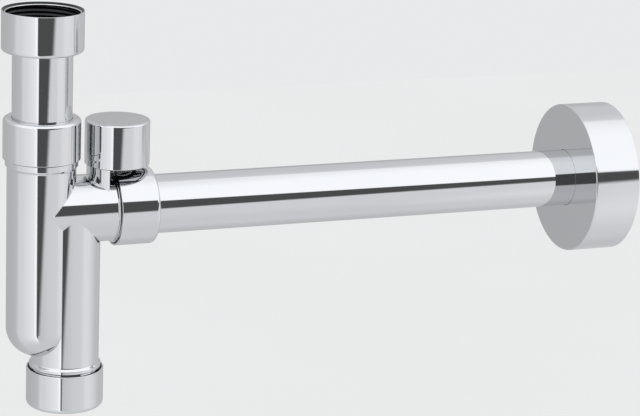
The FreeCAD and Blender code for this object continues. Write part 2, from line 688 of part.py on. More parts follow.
def insert_washer():
    """The washer that seals the insert on the floor of the cup."""
    body = new_piece("valve_insert_washer", VALVE_SEAT_PLACE)
    turned(body, "Washer", [
        ("<air_hole_radius>", "0"),
        ("<air_hole_radius> + <insert_washer_width>", "0"),
        ("<air_hole_radius> + <insert_washer_width>", "<insert_washer_thick>"),
        ("<air_hole_radius>", "<insert_washer_thick>"),
    ])


def valve_membrane():
    """The soft disc that closes the seat ring."""
    body = new_piece("valve_membrane", VALVE_SEAT_PLACE)
    turned(body, "Membrane", [
        ("<stem_radius>", NOZZLE_TOP),
        (MEMBRANE_RADIUS, NOZZLE_TOP),
        (MEMBRANE_RADIUS, MEMBRANE_TOP),
        ("<stem_radius>", MEMBRANE_TOP),
    ])


def valve_disc():
    """The light plate that carries the membrane, with a stem below and a stop button above."""
    body = new_piece("valve_disc", VALVE_SEAT_PLACE)
    plate_radius = "(%s - <disc_step>)" % MEMBRANE_RADIUS
    turned(body, "Disc", [
        ("0", "-<cup_floor>"),
        ("<stem_radius>", "-<cup_floor>"),
        ("<stem_radius>", MEMBRANE_TOP),
        (plate_radius, MEMBRANE_TOP),
        (plate_radius, DISC_TOP),
        ("<button_radius>", DISC_TOP),
        ("<button_radius>", "%s + <button_height>" % DISC_TOP),
        ("0", "%s + <button_height>" % DISC_TOP),
    ])


def valve_cage():
    """The cage over the disc that stops its lift, with four windows in its wall."""
    body = new_piece("valve_cage", VALVE_SEAT_PLACE)
    top = "(%s + <cage_top>)" % CAGE_CEILING
    turned(body, "Cage", [
        ("0", CAGE_CEILING),
        (CAGE_BORE, CAGE_CEILING),
        (CAGE_BORE, INSERT_TOP),
        (INSERT_RADIUS, INSERT_TOP),
        (INSERT_RADIUS, top),
        ("0", top),
    ])
    window = new_sketch(body, "WindowOutline", "XZ_Plane")
    low = "(%s + <cage_window_edge>)" % INSERT_TOP
    high = "(%s - <cage_window_edge>)" % CAGE_CEILING
    draw_outline(window, [
        ("-<cage_window_width> / 2", low),
        ("<cage_window_width> / 2", low),
        ("<cage_window_width> / 2", high),
        ("-<cage_window_width> / 2", high),
    ])
    pair = cut_down(body, "Window", window, "3 * " + INSERT_RADIUS, both_ways=True)
    windows = body.newObject("PartDesign::PolarPattern", "Windows")
    windows.Originals = [pair]
    windows.Axis = (window, ["V_Axis"])
    windows.Angle = 180
    windows.Occurrences = 2
    body.Tip = windows
    doc.recompute()


def waste_pipe():
    """The straight pipe from the branch to the wall."""
    body = new_piece("waste_pipe", (TUBE_START, "0", "-<branch_drop>"), ALONG_PIPE)
    turned(body, "Pipe", [
        (TUBE_BORE, "0"),
        ("<tube_radius>", "0"),
        ("<tube_radius>", "<outlet_tube_length>"),
        (TUBE_BORE, "<outlet_tube_length>"),
    ])
    break_rings(body, "EndBreaks", "<edge_break>",
                ("<tube_radius>", "0"), ("<tube_radius>", "<outlet_tube_length>"))


def wall_flange():
    """The deep round cover that hides the hole in the wall, with a hub for its grip ring."""
    body = new_piece("wall_flange", (FLANGE_FRONT, "0", "-<branch_drop>"), ALONG_PIPE)
    hub_radius = "(%s + <flange_hub_wall>)" % PIPE_HOLE
    groove = "(<tube_radius> + <seal_gap> + 2 * <grip_section> + <grip_gap>)"
    turned(body, "Shell", [
        (PIPE_HOLE, "0"),
        ("<flange_radius>", "0"),
        ("<flange_radius>", "<flange_depth>"),
        ("<flange_radius> - <flange_wall>", "<flange_depth>"),
        ("<flange_radius> - <flange_wall>", "<flange_face>"),
        (hub_radius, "<flange_face>"),
        (hub_radius, "<flange_face> + <flange_hub_length>"),
        (PIPE_HOLE, "<flange_face> + <flange_hub_length>"),
    ])
    round_rings(body, "EdgeRounding", "<flange_round>", ("<flange_radius>", "0"))
    half = "(<grip_section> + <grip_gap>)"
    turned(body, "GripGroove", [
        (PIPE_HOLE + " - <sliding_gap>", "<grip_place> - " + half),
        (groove, "<grip_place> - " + half),
        (groove, "<grip_place> + " + half),
        (PIPE_HOLE + " - <sliding_gap>", "<grip_place> + " + half),
    ], cut=True)


def grip_ring():
    """The rubber ring that holds the wall flange where it is pushed on the pipe."""
    body = new_piece("flange_grip_ring", (FLANGE_FRONT, "0", "-<branch_drop>"), ALONG_PIPE)
    sketch = new_sketch(body, "RingSection")
    draw_circle(sketch, "<tube_radius> + <seal_gap> + <grip_section>", "<grip_place>", "<grip_section>")
    turn_solid(body, "Ring", sketch)


def check_and_write():
    """Stops at any failed feature or bad solid, then writes one file for each piece."""
    doc.recompute()
    for item in doc.Objects:
        if "Invalid" in item.State or "Error" in item.State:
            raise RuntimeError("%s failed" % item.Label)
    os.makedirs("parts", exist_ok=True)
    for body in pieces:
        shape = body.Shape
        if shape.isNull() or not shape.isValid() or not shape.Solids:
            raise RuntimeError("%s has no good solid" % body.Label)
        shape.exportStep("parts/%s.step" % body.Label)
        box = shape.BoundBox
        print("%-24s %d solid %9.1f mm3  x %7.2f %7.2f  y %6.2f %6.2f  z %8.2f %8.2f" % (
            body.Label, len(shape.Solids), shape.Volume,
            box.XMin, box.XMax, box.YMin, box.YMax, box.ZMin, box.ZMax))


union_nut()
inlet_pipe()
inlet_washer()
compression_nut("inlet_compression_nut", INLET_SHOULDER, UPRIGHT, "<inlet_clamp_wall>")
slip_ring("inlet_slip_ring", INLET_SHOULDER, UPRIGHT)
conical_seal("inlet_seal", INLET_SHOULDER, UPRIGHT)
cast_body()
cleaning_washer()
cleaning_cap()
compression_nut("outlet_compression_nut", OUTLET_SHOULDER, ALONG_PIPE, "<outlet_clamp_wall>")
slip_ring("outlet_slip_ring", OUTLET_SHOULDER, ALONG_PIPE)
conical_seal("outlet_seal", OUTLET_SHOULDER, ALONG_PIPE)
waste_pipe()
wall_flange()
grip_ring()
valve_cap()
valve_cap_washer()
valve_insert()
insert_washer()
valve_membrane()
valve_disc()
valve_cage()
check_and_write()
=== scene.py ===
import math
import bpy
import numpy as np
from mathutils import Matrix


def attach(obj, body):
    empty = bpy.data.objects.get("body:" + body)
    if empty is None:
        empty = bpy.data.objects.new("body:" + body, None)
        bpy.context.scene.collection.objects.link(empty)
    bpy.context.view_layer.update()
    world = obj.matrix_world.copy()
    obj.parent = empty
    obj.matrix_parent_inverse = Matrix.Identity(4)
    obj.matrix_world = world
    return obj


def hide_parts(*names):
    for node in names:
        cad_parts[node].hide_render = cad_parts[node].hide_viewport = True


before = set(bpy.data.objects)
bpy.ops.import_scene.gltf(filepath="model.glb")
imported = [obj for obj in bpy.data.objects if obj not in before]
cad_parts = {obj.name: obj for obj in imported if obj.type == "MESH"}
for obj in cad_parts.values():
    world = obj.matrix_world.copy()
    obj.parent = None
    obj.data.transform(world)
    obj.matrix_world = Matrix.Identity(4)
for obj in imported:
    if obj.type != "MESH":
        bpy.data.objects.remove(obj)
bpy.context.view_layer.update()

print("stage: frame loaded,", len(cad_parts), "nodes")

# Sizes below are in millimetres, in the frame of the CAD model: the origin is the centre of the union nut's mouth,
# x runs along the waste pipe to the wall, z is up. placeMesh turns them into metres.
mm = 0.001
pipeOutside = 16.0
pipeBore = 15.0
pipeHole = 16.3
snugHole = 16.07         # where chrome shows right against a pipe
cutOutside = 0.35        # roundings of a pipe's cut end
cutBore = 0.15
threadPitch = 25.4 / 11
femaleCrest = 19.05
maleCrest = 18.95
branchLevel = -108.8
inletShoulder = -79.9
outletShoulder = 38.2
risingLegX = 14.0
valveX = 41.5
seatX = 44.0
seatLevel = -81.8
flangeFront = 309.3
smallRounding = 0.9      # up to this rounding an edge is cut in steps of smallStride degrees
smallStride = 18.0
threadRows = 12          # rows of faces to one pitch of a thread
threadFade = 0.6         # run-out at each end of a thread, in pitches
crestSine = 0.94         # below 1 it rounds the thread's crests and roots
facesAxis = -0.6         # a side faces the axis where its two end normals add up to less than this along the radius
samePoint = 1e-6         # points nearer than this are one point
slack = 0.01             # allowed when two heights are compared


def normalised(rows, least=1e-12):
    return rows / np.maximum(np.linalg.norm(rows, axis=-1, keepdims=True), least)


# Closed outline of (radius, height[, rounding]) corners. A rounded corner becomes an arc that is tangent to both
# sides. Gives the points, and the outward normal just before and just after each of them.
def outlineStations(corners, arcStep):
    spots = [np.array(corner[:2], float) for corner in corners]
    roundings = [corner[2] if len(corner) > 2 else 0.0 for corner in corners]
    area = sum(a[0] * b[1] - b[0] * a[1] for a, b in zip(spots, spots[1:] + spots[:1]))
    if area < 0:
        spots.reverse()
        roundings.reverse()
    stations = []
    for index, spot in enumerate(spots):
        lead = spot - spots[index - 1]
        away = spots[(index + 1) % len(spots)] - spot
        lead /= np.linalg.norm(lead)
        away /= np.linalg.norm(away)
        leadNormal = np.array([lead[1], -lead[0]])
        rounding = roundings[index]
        if rounding <= 0:
            stations.append([spot, leadNormal, np.array([away[1], -away[0]])])
            continue
        turn = math.atan2(lead[0] * away[1] - lead[1] * away[0], float(lead @ away))
        side = math.copysign(1.0, turn)
        start = spot - lead * rounding * math.tan(abs(turn) / 2)
        centre = start - side * rounding * leadNormal
        stride = arcStep if rounding > smallRounding else smallStride
        for angle in np.linspace(0, turn, max(2, math.ceil(abs(math.degrees(turn)) / stride) + 1)):
            c, s = math.cos(angle), math.sin(angle)
            normal = np.array([c * leadNormal[0] - s * leadNormal[1], s * leadNormal[0] + c * leadNormal[1]])
            stations.append([centre + side * rounding * normal, normal, normal])
    joined = stations[:1]
    for point, before, after in stations[1:]:
        if np.linalg.norm(point - joined[-1][0]) < samePoint:
            joined[-1][2] = after
        else:
            joined.append([point, before, after])
    if np.linalg.norm(joined[0][0] - joined[-1][0]) < samePoint:
        joined[0][1] = joined[-1][1]
        joined.pop()
    return [np.array(column) for column in zip(*joined)]


# A thread between two heights. Its grooves run outwards from the radius in a nut (side 1), inwards on a spigot (-1).
def threadOn(side, radius, low, high, depth, pitch=threadPitch, rows=threadRows):
    return {"side": side, "radius": radius, "low": low, "high": high, "depth": depth, "pitch": pitch, "rows": rows}


# Depth of a one-start thread: a triangle wave with rounded crests and roots that moves one pitch up for each turn,
# faded out at both ends.
def threadRipple(angle, height, thread):
    wave = crestSine * np.sin(2 * np.pi * (height / thread["pitch"] - angle / (2 * np.pi)))
    tooth = 0.5 + np.arcsin(wave) / (2 * math.asin(crestSine))
    fade = threadFade * thread["pitch"]
    low = np.clip((height - thread["low"]) / fade, 0, 1)
    high = np.clip((thread["high"] - height) / fade, 0, 1)
    ends = low * low * (3 - 2 * low) * high * high * (3 - 2 * high)
    return thread["side"] * thread["depth"] * tooth * ends


# Normal of radius(angle, height), from its slopes both ways. outward is 1 on a shaft and -1 in a bore.
def threadNormals(angle, height, radius, outward, thread, step=1e-4):
    around = (threadRipple(angle + step, height, thread) - threadRipple(angle - step, height, thread)) / (2 * step)
    along = (threadRipple(angle, height + step, thread) - threadRipple(angle, height - step, thread)) / (2 * step)
    c, s = np.cos(angle), np.sin(angle)
    across = around / radius
    return normalised(np.stack([outward * (c + across * s), outward * (s - across * c), -outward * along], -1))


# Splits each straight side that carries a thread into the thread's rows.
def addThreadStations(stations, threads):
    points, before, after = stations
    out = []
    for index, here in enumerate(points):
        there = points[(index + 1) % len(points)]
        middle = (here[1] + there[1]) / 2
        tag = -1
        for number, thread in enumerate(threads):
            onIt = max(abs(here[0] - thread["radius"]), abs(there[0] - thread["radius"])) < samePoint
            if onIt and thread["low"] - slack < middle < thread["high"] + slack:
                tag = number
        out.append((here, before[index], after[index], tag))
        if tag >= 0:
            count = max(2, math.ceil(abs(there[1] - here[1]) / threads[tag]["pitch"] * threads[tag]["rows"]))
            out += [(here + (there - here) * part / count, after[index], after[index], tag) for part in range(1, count)]
    return [np.array(column) for column in zip(*out)]


# The outline carried once round the z axis: point (radius cos a, radius sin a, height), with the radius rippled where
# a thread is cut. Gives vertices, faces, a normal for each face corner, each face's station, and the stations.
def turnedArrays(corners, steps=192, threads=(), arcStep=9.0):
    points, before, after, tags = addThreadStations(outlineStations(corners, arcStep), threads)
    count = len(points)
    angle = np.linspace(0, 2 * np.pi, steps, endpoint=False)
    radius = np.repeat(points[:, :1], steps, 1)
    height = np.repeat(points[:, 1:], steps, 1)
    flat = [np.repeat(side[:, None, :], steps, 1) for side in (before, after)]
    c, s = np.cos(angle)[None, :], np.sin(angle)[None, :]
    normals = [np.stack([side[..., 0] * c, side[..., 0] * s, side[..., 1]], -1) for side in flat]
    for number, thread in enumerate(threads):
        starts = tags == number
        rows = starts | np.roll(starts, 1)
        grid = np.broadcast_to(angle, (int(rows.sum()), steps))
        radius[rows] += threadRipple(grid, height[rows], thread)
        for side, chosen in ((1, starts), (0, np.roll(starts, 1))):
            grid = np.broadcast_to(angle, (int(chosen.sum()), steps))
            outward = np.sign(flat[side][chosen][:, :1, 0])
            normals[side][chosen] = threadNormals(grid, height[chosen], radius[chosen], outward, thread)
    vertices = np.stack([radius * c, radius * s, height], -1)
    poles = points[:, 0] < samePoint
    index = np.arange(count * steps).reshape(count, steps)
    index[poles] = index[poles][:, :1]
    faces, cornerNormals, owner = [], [], []
    right = np.roll(np.arange(steps), -1)
    for row in range(count):
        below = (row + 1) % count
        if poles[row] and poles[below]:
            continue
        a, b = index[row], index[row][right]
        d, e = index[below][right], index[below]
        na, nb = normals[1][row], normals[1][row][right]
        nd, ne = normals[0][below][right], normals[0][below]
        if poles[below]:
            ring, ringNormals = (a, b, e), (na, nb, ne)
        elif poles[row]:
            ring, ringNormals = (a, d, e), (na, nd, ne)
        else:
            ring, ringNormals = (a, b, d, e), (na, nb, nd, ne)
        faces += np.stack(ring, -1).tolist()
        cornerNormals.append(np.stack(ringNormals, 1).reshape(-1, 3))
        owner.append(np.full(steps, row))
    used = np.unique(np.concatenate([np.array(face) for face in faces]))
    fresh = np.full(count * steps, -1)
    fresh[used] = np.arange(len(used))
    faces = [fresh[face].tolist() for face in faces]
    table = (points, before, after, tags)
    return vertices.reshape(-1, 3)[used], faces, np.concatenate(cornerNormals), np.concatenate(owner), table


upright = np.eye(3)
alongPipe = np.array([[0.0, 0.0, 1.0], [0.0, 1.0, 0.0], [-1.0, 0.0, 0.0]])  # local z becomes world x


# Turns the vertices, moves them to the centre, makes them metres and gives every face corner its own normal.
def placeMesh(name, vertices, faces, cornerNormals, material, centre=(0, 0, 0), turn=upright):
    mesh = bpy.data.meshes.new(name)
    mesh.from_pydata(((vertices @ turn.T + np.array(centre, float)) * mm).tolist(), [], faces)
    mesh.polygons.foreach_set("use_smooth", np.ones(len(faces), bool))
    mesh.normals_split_custom_set(normalised(cornerNormals @ turn.T).tolist())
    mesh.update()
    made = bpy.data.objects.new(name, mesh)
    bpy.context.collection.objects.link(made)
    made.data.materials.append(material)
    return made


# A turned piece. Its surfaces that look towards the axis take the inner material, if one is given, except between the
# two heights of bright.
def turnedPiece(name, corners, material, centre=(0, 0, 0), turn=upright, steps=192, threads=(), inner=None,
                bright=(0, 0)):
    vertices, faces, cornerNormals, owner, table = turnedArrays(corners, steps, threads)
    made = placeMesh(name, vertices, faces, cornerNormals, material, centre, turn)
    # The inner material, mostly the near-black bore metal, paints shade onto the surfaces that look towards the axis
    if inner:
        made.data.materials.append(inner)
        points, before, after, tags = table
        inward = (after[:, 0] + np.roll(before[:, 0], -1)) < facesAxis
        middle = (points[:, 1] + np.roll(points[:, 1], -1)) / 2
        inward &= (middle < bright[0]) | (middle > bright[1])
        made.data.polygons.foreach_set("material_index", inward[owner].astype(np.int32))
    return made


# Lets the piece stand for its CAD node and move with its body.
def fitPiece(made, node, body):
    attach(made, body)
    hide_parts(node)


# Corners of a plain ring between two radii and two heights, its four edges rounded alike.
def ringCorners(ring):
    return [(ring["bore"], ring["low"], ring["edge"]), (ring["outside"], ring["low"], ring["edge"]),
            (ring["outside"], ring["high"], ring["edge"]), (ring["bore"], ring["high"], ring["edge"])]


def startMaterial(name):
    material = bpy.data.materials.new(name)
    material.use_nodes = True
    tree = material.node_tree
    shader = tree.nodes["Principled BSDF"]
    place = tree.nodes.new("ShaderNodeTexCoord")
    return material, tree, shader, place.outputs["Object"]


def noiseNode(tree, place, scale, detail=3.0, rough=0.5):
    noise = tree.nodes.new("ShaderNodeTexNoise")
    noise.inputs["Scale"].default_value = scale
    noise.inputs["Detail"].default_value = detail
    noise.inputs["Roughness"].default_value = rough
    tree.links.new(place, noise.inputs["Vector"])
    return noise.outputs["Fac"]


noiseLow, noiseHigh = 0.3, 0.7      # the part of a noise's range that is spread over a material's two ends


def spanNode(tree, value, low, high):
    span = tree.nodes.new("ShaderNodeMapRange")
    span.inputs["From Min"].default_value = noiseLow
    span.inputs["From Max"].default_value = noiseHigh
    span.inputs["To Min"].default_value = low
    span.inputs["To Max"].default_value = high
    tree.links.new(value, span.inputs["Value"])
    return span.outputs["Result"]


def colourBlend(tree, value, first, second):
    ramp = tree.nodes.new("ShaderNodeValToRGB")
    for element, position, colour in zip(ramp.color_ramp.elements, (noiseLow, noiseHigh), (first, second)):
        element.position = position
        element.color = (*colour, 1)
    tree.links.new(value, ramp.inputs["Fac"])
    return ramp.outputs["Color"]


def bumpNode(tree, shader, value, strength, distance):
    bump = tree.nodes.new("ShaderNodeBump")
    bump.inputs["Strength"].default_value = strength
    bump.inputs["Distance"].default_value = distance
    tree.links.new(value, bump.inputs["Height"])
    tree.links.new(bump.outputs["Normal"], shader.inputs["Normal"])


# Polished chrome: a cool mirror whose tone drifts a little, with faint polishing haze.
def chromePlate(name, finish):
    material, tree, shader, place = startMaterial(name)
    shader.inputs["Metallic"].default_value = 1.0
    drift = noiseNode(tree, place, finish["driftScale"], detail=2.0)
    tree.links.new(colourBlend(tree, drift, finish["colour"], finish["colourSoft"]), shader.inputs["Base Color"])
    haze = noiseNode(tree, place, finish["hazeScale"], detail=4.0, rough=0.6)
    tree.links.new(spanNode(tree, haze, finish["roughLow"], finish["roughHigh"]), shader.inputs["Roughness"])
    wave = noiseNode(tree, place, finish["waveScale"], detail=1.0)
    bumpNode(tree, shader, wave, finish["waveStrength"], finish["waveDepth"])
    return material


chromeFinish = {
    "colour": (0.655, 0.665, 0.68), "colourSoft": (0.675, 0.683, 0.695), "driftScale": 14.0,
    "roughLow": 0.025, "roughHigh": 0.05, "hazeScale": 60.0,
    "waveScale": 30.0, "waveStrength": 0.008, "waveDepth": 0.0002,
}
castFinish = dict(chromeFinish, waveScale=45.0, waveStrength=0.02, roughHigh=0.06)
# Near-black, rough bore metal: its dark colour is partly thin plating and partly painted shade of the hollows
boreFinishPaintedShade = dict(chromeFinish, colour=(0.024, 0.026, 0.026), colourSoft=(0.045, 0.048, 0.048),
                  roughLow=0.24, roughHigh=0.36, waveScale=300.0, waveStrength=0.08)
backFinish = dict(chromeFinish, colour=(0.42, 0.425, 0.43), colourSoft=(0.50, 0.505, 0.51),
                  roughLow=0.16, roughHigh=0.26, waveScale=200.0, waveStrength=0.06)


# Moulded rubber or plastic: two close tones, a rough grain and a fine pebbled surface.
def mouldedMaterial(name, look):
    material, tree, shader, place = startMaterial(name)
    tone = noiseNode(tree, place, look["toneScale"])
    tree.links.new(colourBlend(tree, tone, look["colour"], look["colourSoft"]), shader.inputs["Base Color"])
    grain = noiseNode(tree, place, look["grainScale"], detail=4.0, rough=0.6)
    tree.links.new(spanNode(tree, grain, look["roughLow"], look["roughHigh"]), shader.inputs["Roughness"])
    bumpNode(tree, shader, grain, look["grainStrength"], look["grainDepth"])
    return material


rubberLook = {
    "colour": (0.018, 0.018, 0.019), "colourSoft": (0.032, 0.032, 0.033), "toneScale": 120.0,
    "roughLow": 0.55, "roughHigh": 0.8, "grainScale": 1400.0, "grainStrength": 0.25, "grainDepth": 0.0001,
}
nylonLook = {
    "colour": (0.74, 0.73, 0.69), "colourSoft": (0.80, 0.79, 0.76), "toneScale": 90.0,
    "roughLow": 0.32, "roughHigh": 0.5, "grainScale": 900.0, "grainStrength": 0.12, "grainDepth": 0.0001,
}
valveLook = {
    "colour": (0.60, 0.61, 0.62), "colourSoft": (0.68, 0.69, 0.70), "toneScale": 80.0,
    "roughLow": 0.3, "roughHigh": 0.45, "grainScale": 800.0, "grainStrength": 0.12, "grainDepth": 0.0001,
}
chrome = chromePlate("polishedChrome", chromeFinish)
castChrome = chromePlate("castChrome", castFinish)
boreMetalPaintedShade = chromePlate("boreMetalPaintedShade", boreFinishPaintedShade)          # inside pipes, nuts and bores: thin plating, with painted shade of these hollows in its near-black colour
backChrome = chromePlate("dullChrome", backFinish)        # inner sides of the wall flange
rubber = mouldedMaterial("blackRubber", rubberLook)
nylon = mouldedMaterial("whiteNylon", nylonLook)
valvePlastic = mouldedMaterial("greyValvePlastic", valveLook)
print("stage: materials made")


unionNut = {
    "outside": 21.75, "height": 21.9, "rimRound": 0.2, "footRound": 2.0,
    "leadIn": 21.4, "leadInFoot": 0.95, "leadInEdge": 0.12, "ledge": 20.0, "ledgeEdge": 0.05, "ledgeRound": 0.45,
    "crest": 19.475, "threadHigh": -1.5, "threadLow": -13.05, "threadEnd": 13.2, "threadDepth": 0.5, "threadRows": 16,
    "relief": 20.175, "reliefEnd": 18.2, "reliefRound": 0.3, "lipBore": snugHole, "boreEdge": 0.15, "innerEdge": 0.2,
}


def unionNutCorners(u):
    return [
        (u["leadIn"], 0, u["leadInEdge"]), (u["outside"], 0, u["rimRound"]),
        (u["outside"], -u["height"], u["footRound"]), (u["lipBore"], -u["height"], u["boreEdge"]),
        (u["lipBore"], -u["reliefEnd"], u["innerEdge"]), (u["relief"], -u["reliefEnd"], u["reliefRound"]),
        (u["relief"], -u["threadEnd"], u["innerEdge"]), (u["crest"], -u["threadEnd"], u["boreEdge"]),
        (u["crest"], -u["leadInFoot"], u["ledgeRound"]), (u["ledge"], -u["leadInFoot"], u["ledgeEdge"])]


unionThread = threadOn(1, unionNut["crest"], unionNut["threadLow"], unionNut["threadHigh"], unionNut["threadDepth"],
                       rows=unionNut["threadRows"])
# The rounded ledge under the lead-in stays polished chrome, left out of the painted shade, though it looks towards the
# axis
unionBead = (-unionNut["leadInFoot"] - unionNut["ledgeRound"] - slack, -unionNut["leadInFoot"] + slack)
fitPiece(turnedPiece("unionNut", unionNutCorners(unionNut), chrome, steps=256, threads=[unionThread], inner=boreMetalPaintedShade,
                     bright=unionBead), "inlet_union_nut", "union_nut")

inletPipe = {"collar": 19.1, "collarTop": -15.7, "collarFoot": -18.2, "collarRound": 0.8, "collarEdge": 0.25,
             "collarRoot": 0.2, "end": -112.0}
fitPiece(turnedPiece("inletPipe", [
    (pipeBore, inletPipe["collarTop"], inletPipe["collarRound"]),
    (inletPipe["collar"], inletPipe["collarTop"], inletPipe["collarEdge"]),
    (inletPipe["collar"], inletPipe["collarFoot"], inletPipe["collarEdge"]),
    (pipeOutside, inletPipe["collarFoot"], inletPipe["collarRoot"]),
    (pipeOutside, inletPipe["end"], cutOutside), (pipeBore, inletPipe["end"], cutBore),
], chrome, steps=256, inner=boreMetalPaintedShade), "inlet_pipe", "inlet_pipe")

inletWasher = {"bore": 15.8, "outside": 19.1, "low": -15.7, "high": -13.4, "edge": 0.25}
fitPiece(turnedPiece("inletWasher", ringCorners(inletWasher), rubber), "inlet_washer", "inlet_pipe")
print("stage: union nut and inlet pipe made")


# Heights of the nuts, slip rings and seals run from the shoulder that each nut is screwed towards.
nut = {
    "inletOutside": 20.65, "outletOutside": 21.05, "inletTail": 0.3, "outletTail": 0.75, "tailRound": 0.4,
    "innerEnd": 18.7, "outerEnd": 22.45, "noseRound": 2.2, "noseEdge": 0.15, "lipEdge": 0.2, "lipRoot": 0.5,
    "leadIn": 20.15, "leadInDepth": 0.7, "leadInEdge": 0.1, "threadGap": 0.8, "threadEnd": 14.0, "threadDepth": 0.75,
}
slipRing = {"bore": 16.15, "outside": 18.7, "low": 17.1, "high": 18.7, "edge": 0.2}
seal = {"bore": 16.05, "tip": 16.3, "tipLevel": 10.7, "cone": 17.9, "coneLevel": 13.9, "outside": 18.6, "back": 17.1,
        "edge": 0.3, "stepEdge": 0.2}


def compressionNut(name, node, outside, tail, centre, turn):
    thread = threadOn(1, femaleCrest, tail + nut["threadGap"], nut["threadEnd"], nut["threadDepth"])
    made = turnedPiece(name, [
        (nut["leadIn"], tail, nut["leadInEdge"]), (outside, tail, nut["tailRound"]),
        (outside, nut["outerEnd"], nut["noseRound"]), (snugHole, nut["outerEnd"], nut["noseEdge"]),
        (snugHole, nut["innerEnd"], nut["lipEdge"]), (femaleCrest, nut["innerEnd"], nut["lipRoot"]),
        (femaleCrest, nut["threadEnd"]), (femaleCrest, tail + nut["leadInDepth"], nut["leadInEdge"]),
    ], chrome, centre, turn, steps=256, threads=[thread], inner=boreMetalPaintedShade)
    fitPiece(made, node, node)


for side, centre, turn in (("inlet", (0, 0, inletShoulder), upright),
                           ("outlet", (outletShoulder, 0, branchLevel), alongPipe)):
    compressionNut(side + "Nut", side + "_compression_nut", nut[side + "Outside"], nut[side + "Tail"], centre, turn)
    fitPiece(turnedPiece(side + "SlipRing", ringCorners(slipRing), nylon, centre, turn),
             side + "_slip_ring", side + "_slip_ring")
    fitPiece(turnedPiece(side + "Seal", [
        (seal["bore"], seal["tipLevel"]), (seal["tip"], seal["tipLevel"]),
        (seal["cone"], seal["coneLevel"], seal["edge"]), (seal["outside"], seal["coneLevel"], seal["stepEdge"]),
        (seal["outside"], seal["back"], seal["edge"]), (seal["bore"], seal["back"], seal["edge"])],
        rubber, centre, turn), side + "_seal", "trap_body")
print("stage: compression nuts made")


wastePipe = {"start": 38.5, "end": 336.2}
wasteLength = wastePipe["end"] - wastePipe["start"]
fitPiece(turnedPiece("wastePipe", [
    (pipeBore, 0, cutBore), (pipeOutside, 0, cutOutside), (pipeOutside, wasteLength, cutOutside),
    (pipeBore, wasteLength, cutBore),
], chrome, (wastePipe["start"], 0, branchLevel), alongPipe, steps=256, inner=boreMetalPaintedShade),
    "waste_pipe", "waste_pipe")

flange = {
    "radius": 42.1, "depth": 26.9, "inside": 40.3, "face": 2.0, "edgeRound": 0.8, "pipeEdge": 0.1, "rimEdge": 0.25,
    "insideRound": 0.6, "hub": 19.7, "hubEnd": 9.0, "hubRoot": 0.5, "hubEdge": 0.3,
    "groove": 18.55, "grooveLow": 3.7, "grooveHigh": 6.3, "grooveRound": 0.2,
}


def flangeCorners(f):
    return [
        (snugHole, 0, f["pipeEdge"]), (f["radius"], 0, f["edgeRound"]), (f["radius"], f["depth"], f["rimEdge"]),
        (f["inside"], f["depth"], f["rimEdge"]), (f["inside"], f["face"], f["insideRound"]),
        (f["hub"], f["face"], f["hubRoot"]), (f["hub"], f["hubEnd"], f["hubEdge"]),
        (snugHole, f["hubEnd"], f["rimEdge"]), (snugHole, f["grooveHigh"]),
        (f["groove"], f["grooveHigh"], f["grooveRound"]), (f["groove"], f["grooveLow"], f["grooveRound"]),
        (snugHole, f["grooveLow"])]


fitPiece(turnedPiece("wallFlange", flangeCorners(flange), chrome, (flangeFront, 0, branchLevel), alongPipe, steps=384,
                     inner=backChrome), "wall_flange", "wall_flange")

gripRing = {"bore": 16.05, "outside": 18.45, "low": 3.8, "high": 6.2, "edge": 1.199}     # all but round in section
fitPiece(turnedPiece("gripRing", ringCorners(gripRing), rubber, (flangeFront, 0, branchLevel), alongPipe),
         "flange_grip_ring", "wall_flange")
print("stage: waste pipe and wall flange made")


cleanCap = {
    "outside": 20.85, "rim": -196.7, "rimRound": 0.45, "floor": -218.0, "footRound": 2.6, "inside": -215.4,
    "insideRound": 0.4, "leadIn": 20.1, "leadInDepth": 0.7, "leadInEdge": 0.1,
    "threadGap": 0.8, "threadLow": -212.0, "threadEnd": -212.3, "threadDepth": 0.75,
}


def cleanCapCorners(c):
    return [
        (0, c["floor"]), (c["outside"], c["floor"], c["footRound"]), (c["outside"], c["rim"], c["rimRound"]),
        (c["leadIn"], c["rim"], c["leadInEdge"]), (femaleCrest, c["rim"] - c["leadInDepth"], c["leadInEdge"]),
        (femaleCrest, c["threadEnd"]), (femaleCrest, c["inside"], c["insideRound"]), (0, c["inside"])]


cleanThread = threadOn(1, femaleCrest, cleanCap["threadLow"], cleanCap["rim"] - cleanCap["threadGap"],
                       cleanCap["threadDepth"])
fitPiece(turnedPiece("cleaningCap", cleanCapCorners(cleanCap), chrome, (risingLegX, 0, 0), steps=256,
                     threads=[cleanThread], inner=boreMetalPaintedShade), "cleaning_cap", "cleaning_cap")

cleaningWasher = {"bore": 16.2, "outside": 18.95, "low": -215.4, "high": -212.9, "edge": 0.3}
fitPiece(turnedPiece("cleaningWasher", ringCorners(cleaningWasher), rubber, (risingLegX, 0, 0)),
         "cleaning_washer", "cleaning_washer")


valveCap = {
    "outside": 17.4, "inside": 15.4, "rim": -84.7, "rimRound": 0.4, "leadIn": 0.3, "leadInEdge": 0.1,
    "top": -60.5, "topRound": 1.2, "ceiling": -62.5, "ceilingRound": 0.4,
    "threadLow": -84.0, "threadHigh": -68.0, "threadEnd": -67.8, "threadDepth": 0.55, "threadPitch": 1.5,
    "threadRows": 8,
}


def valveCapCorners(c):
    return [
        (0, c["top"]), (0, c["ceiling"]), (c["inside"], c["ceiling"], c["ceilingRound"]),
        (c["inside"], c["threadEnd"]), (c["inside"], c["rim"] + c["leadIn"], c["leadInEdge"]),
        (c["inside"] + c["leadIn"], c["rim"]), (c["outside"], c["rim"], c["rimRound"]),
        (c["outside"], c["top"], c["topRound"])]


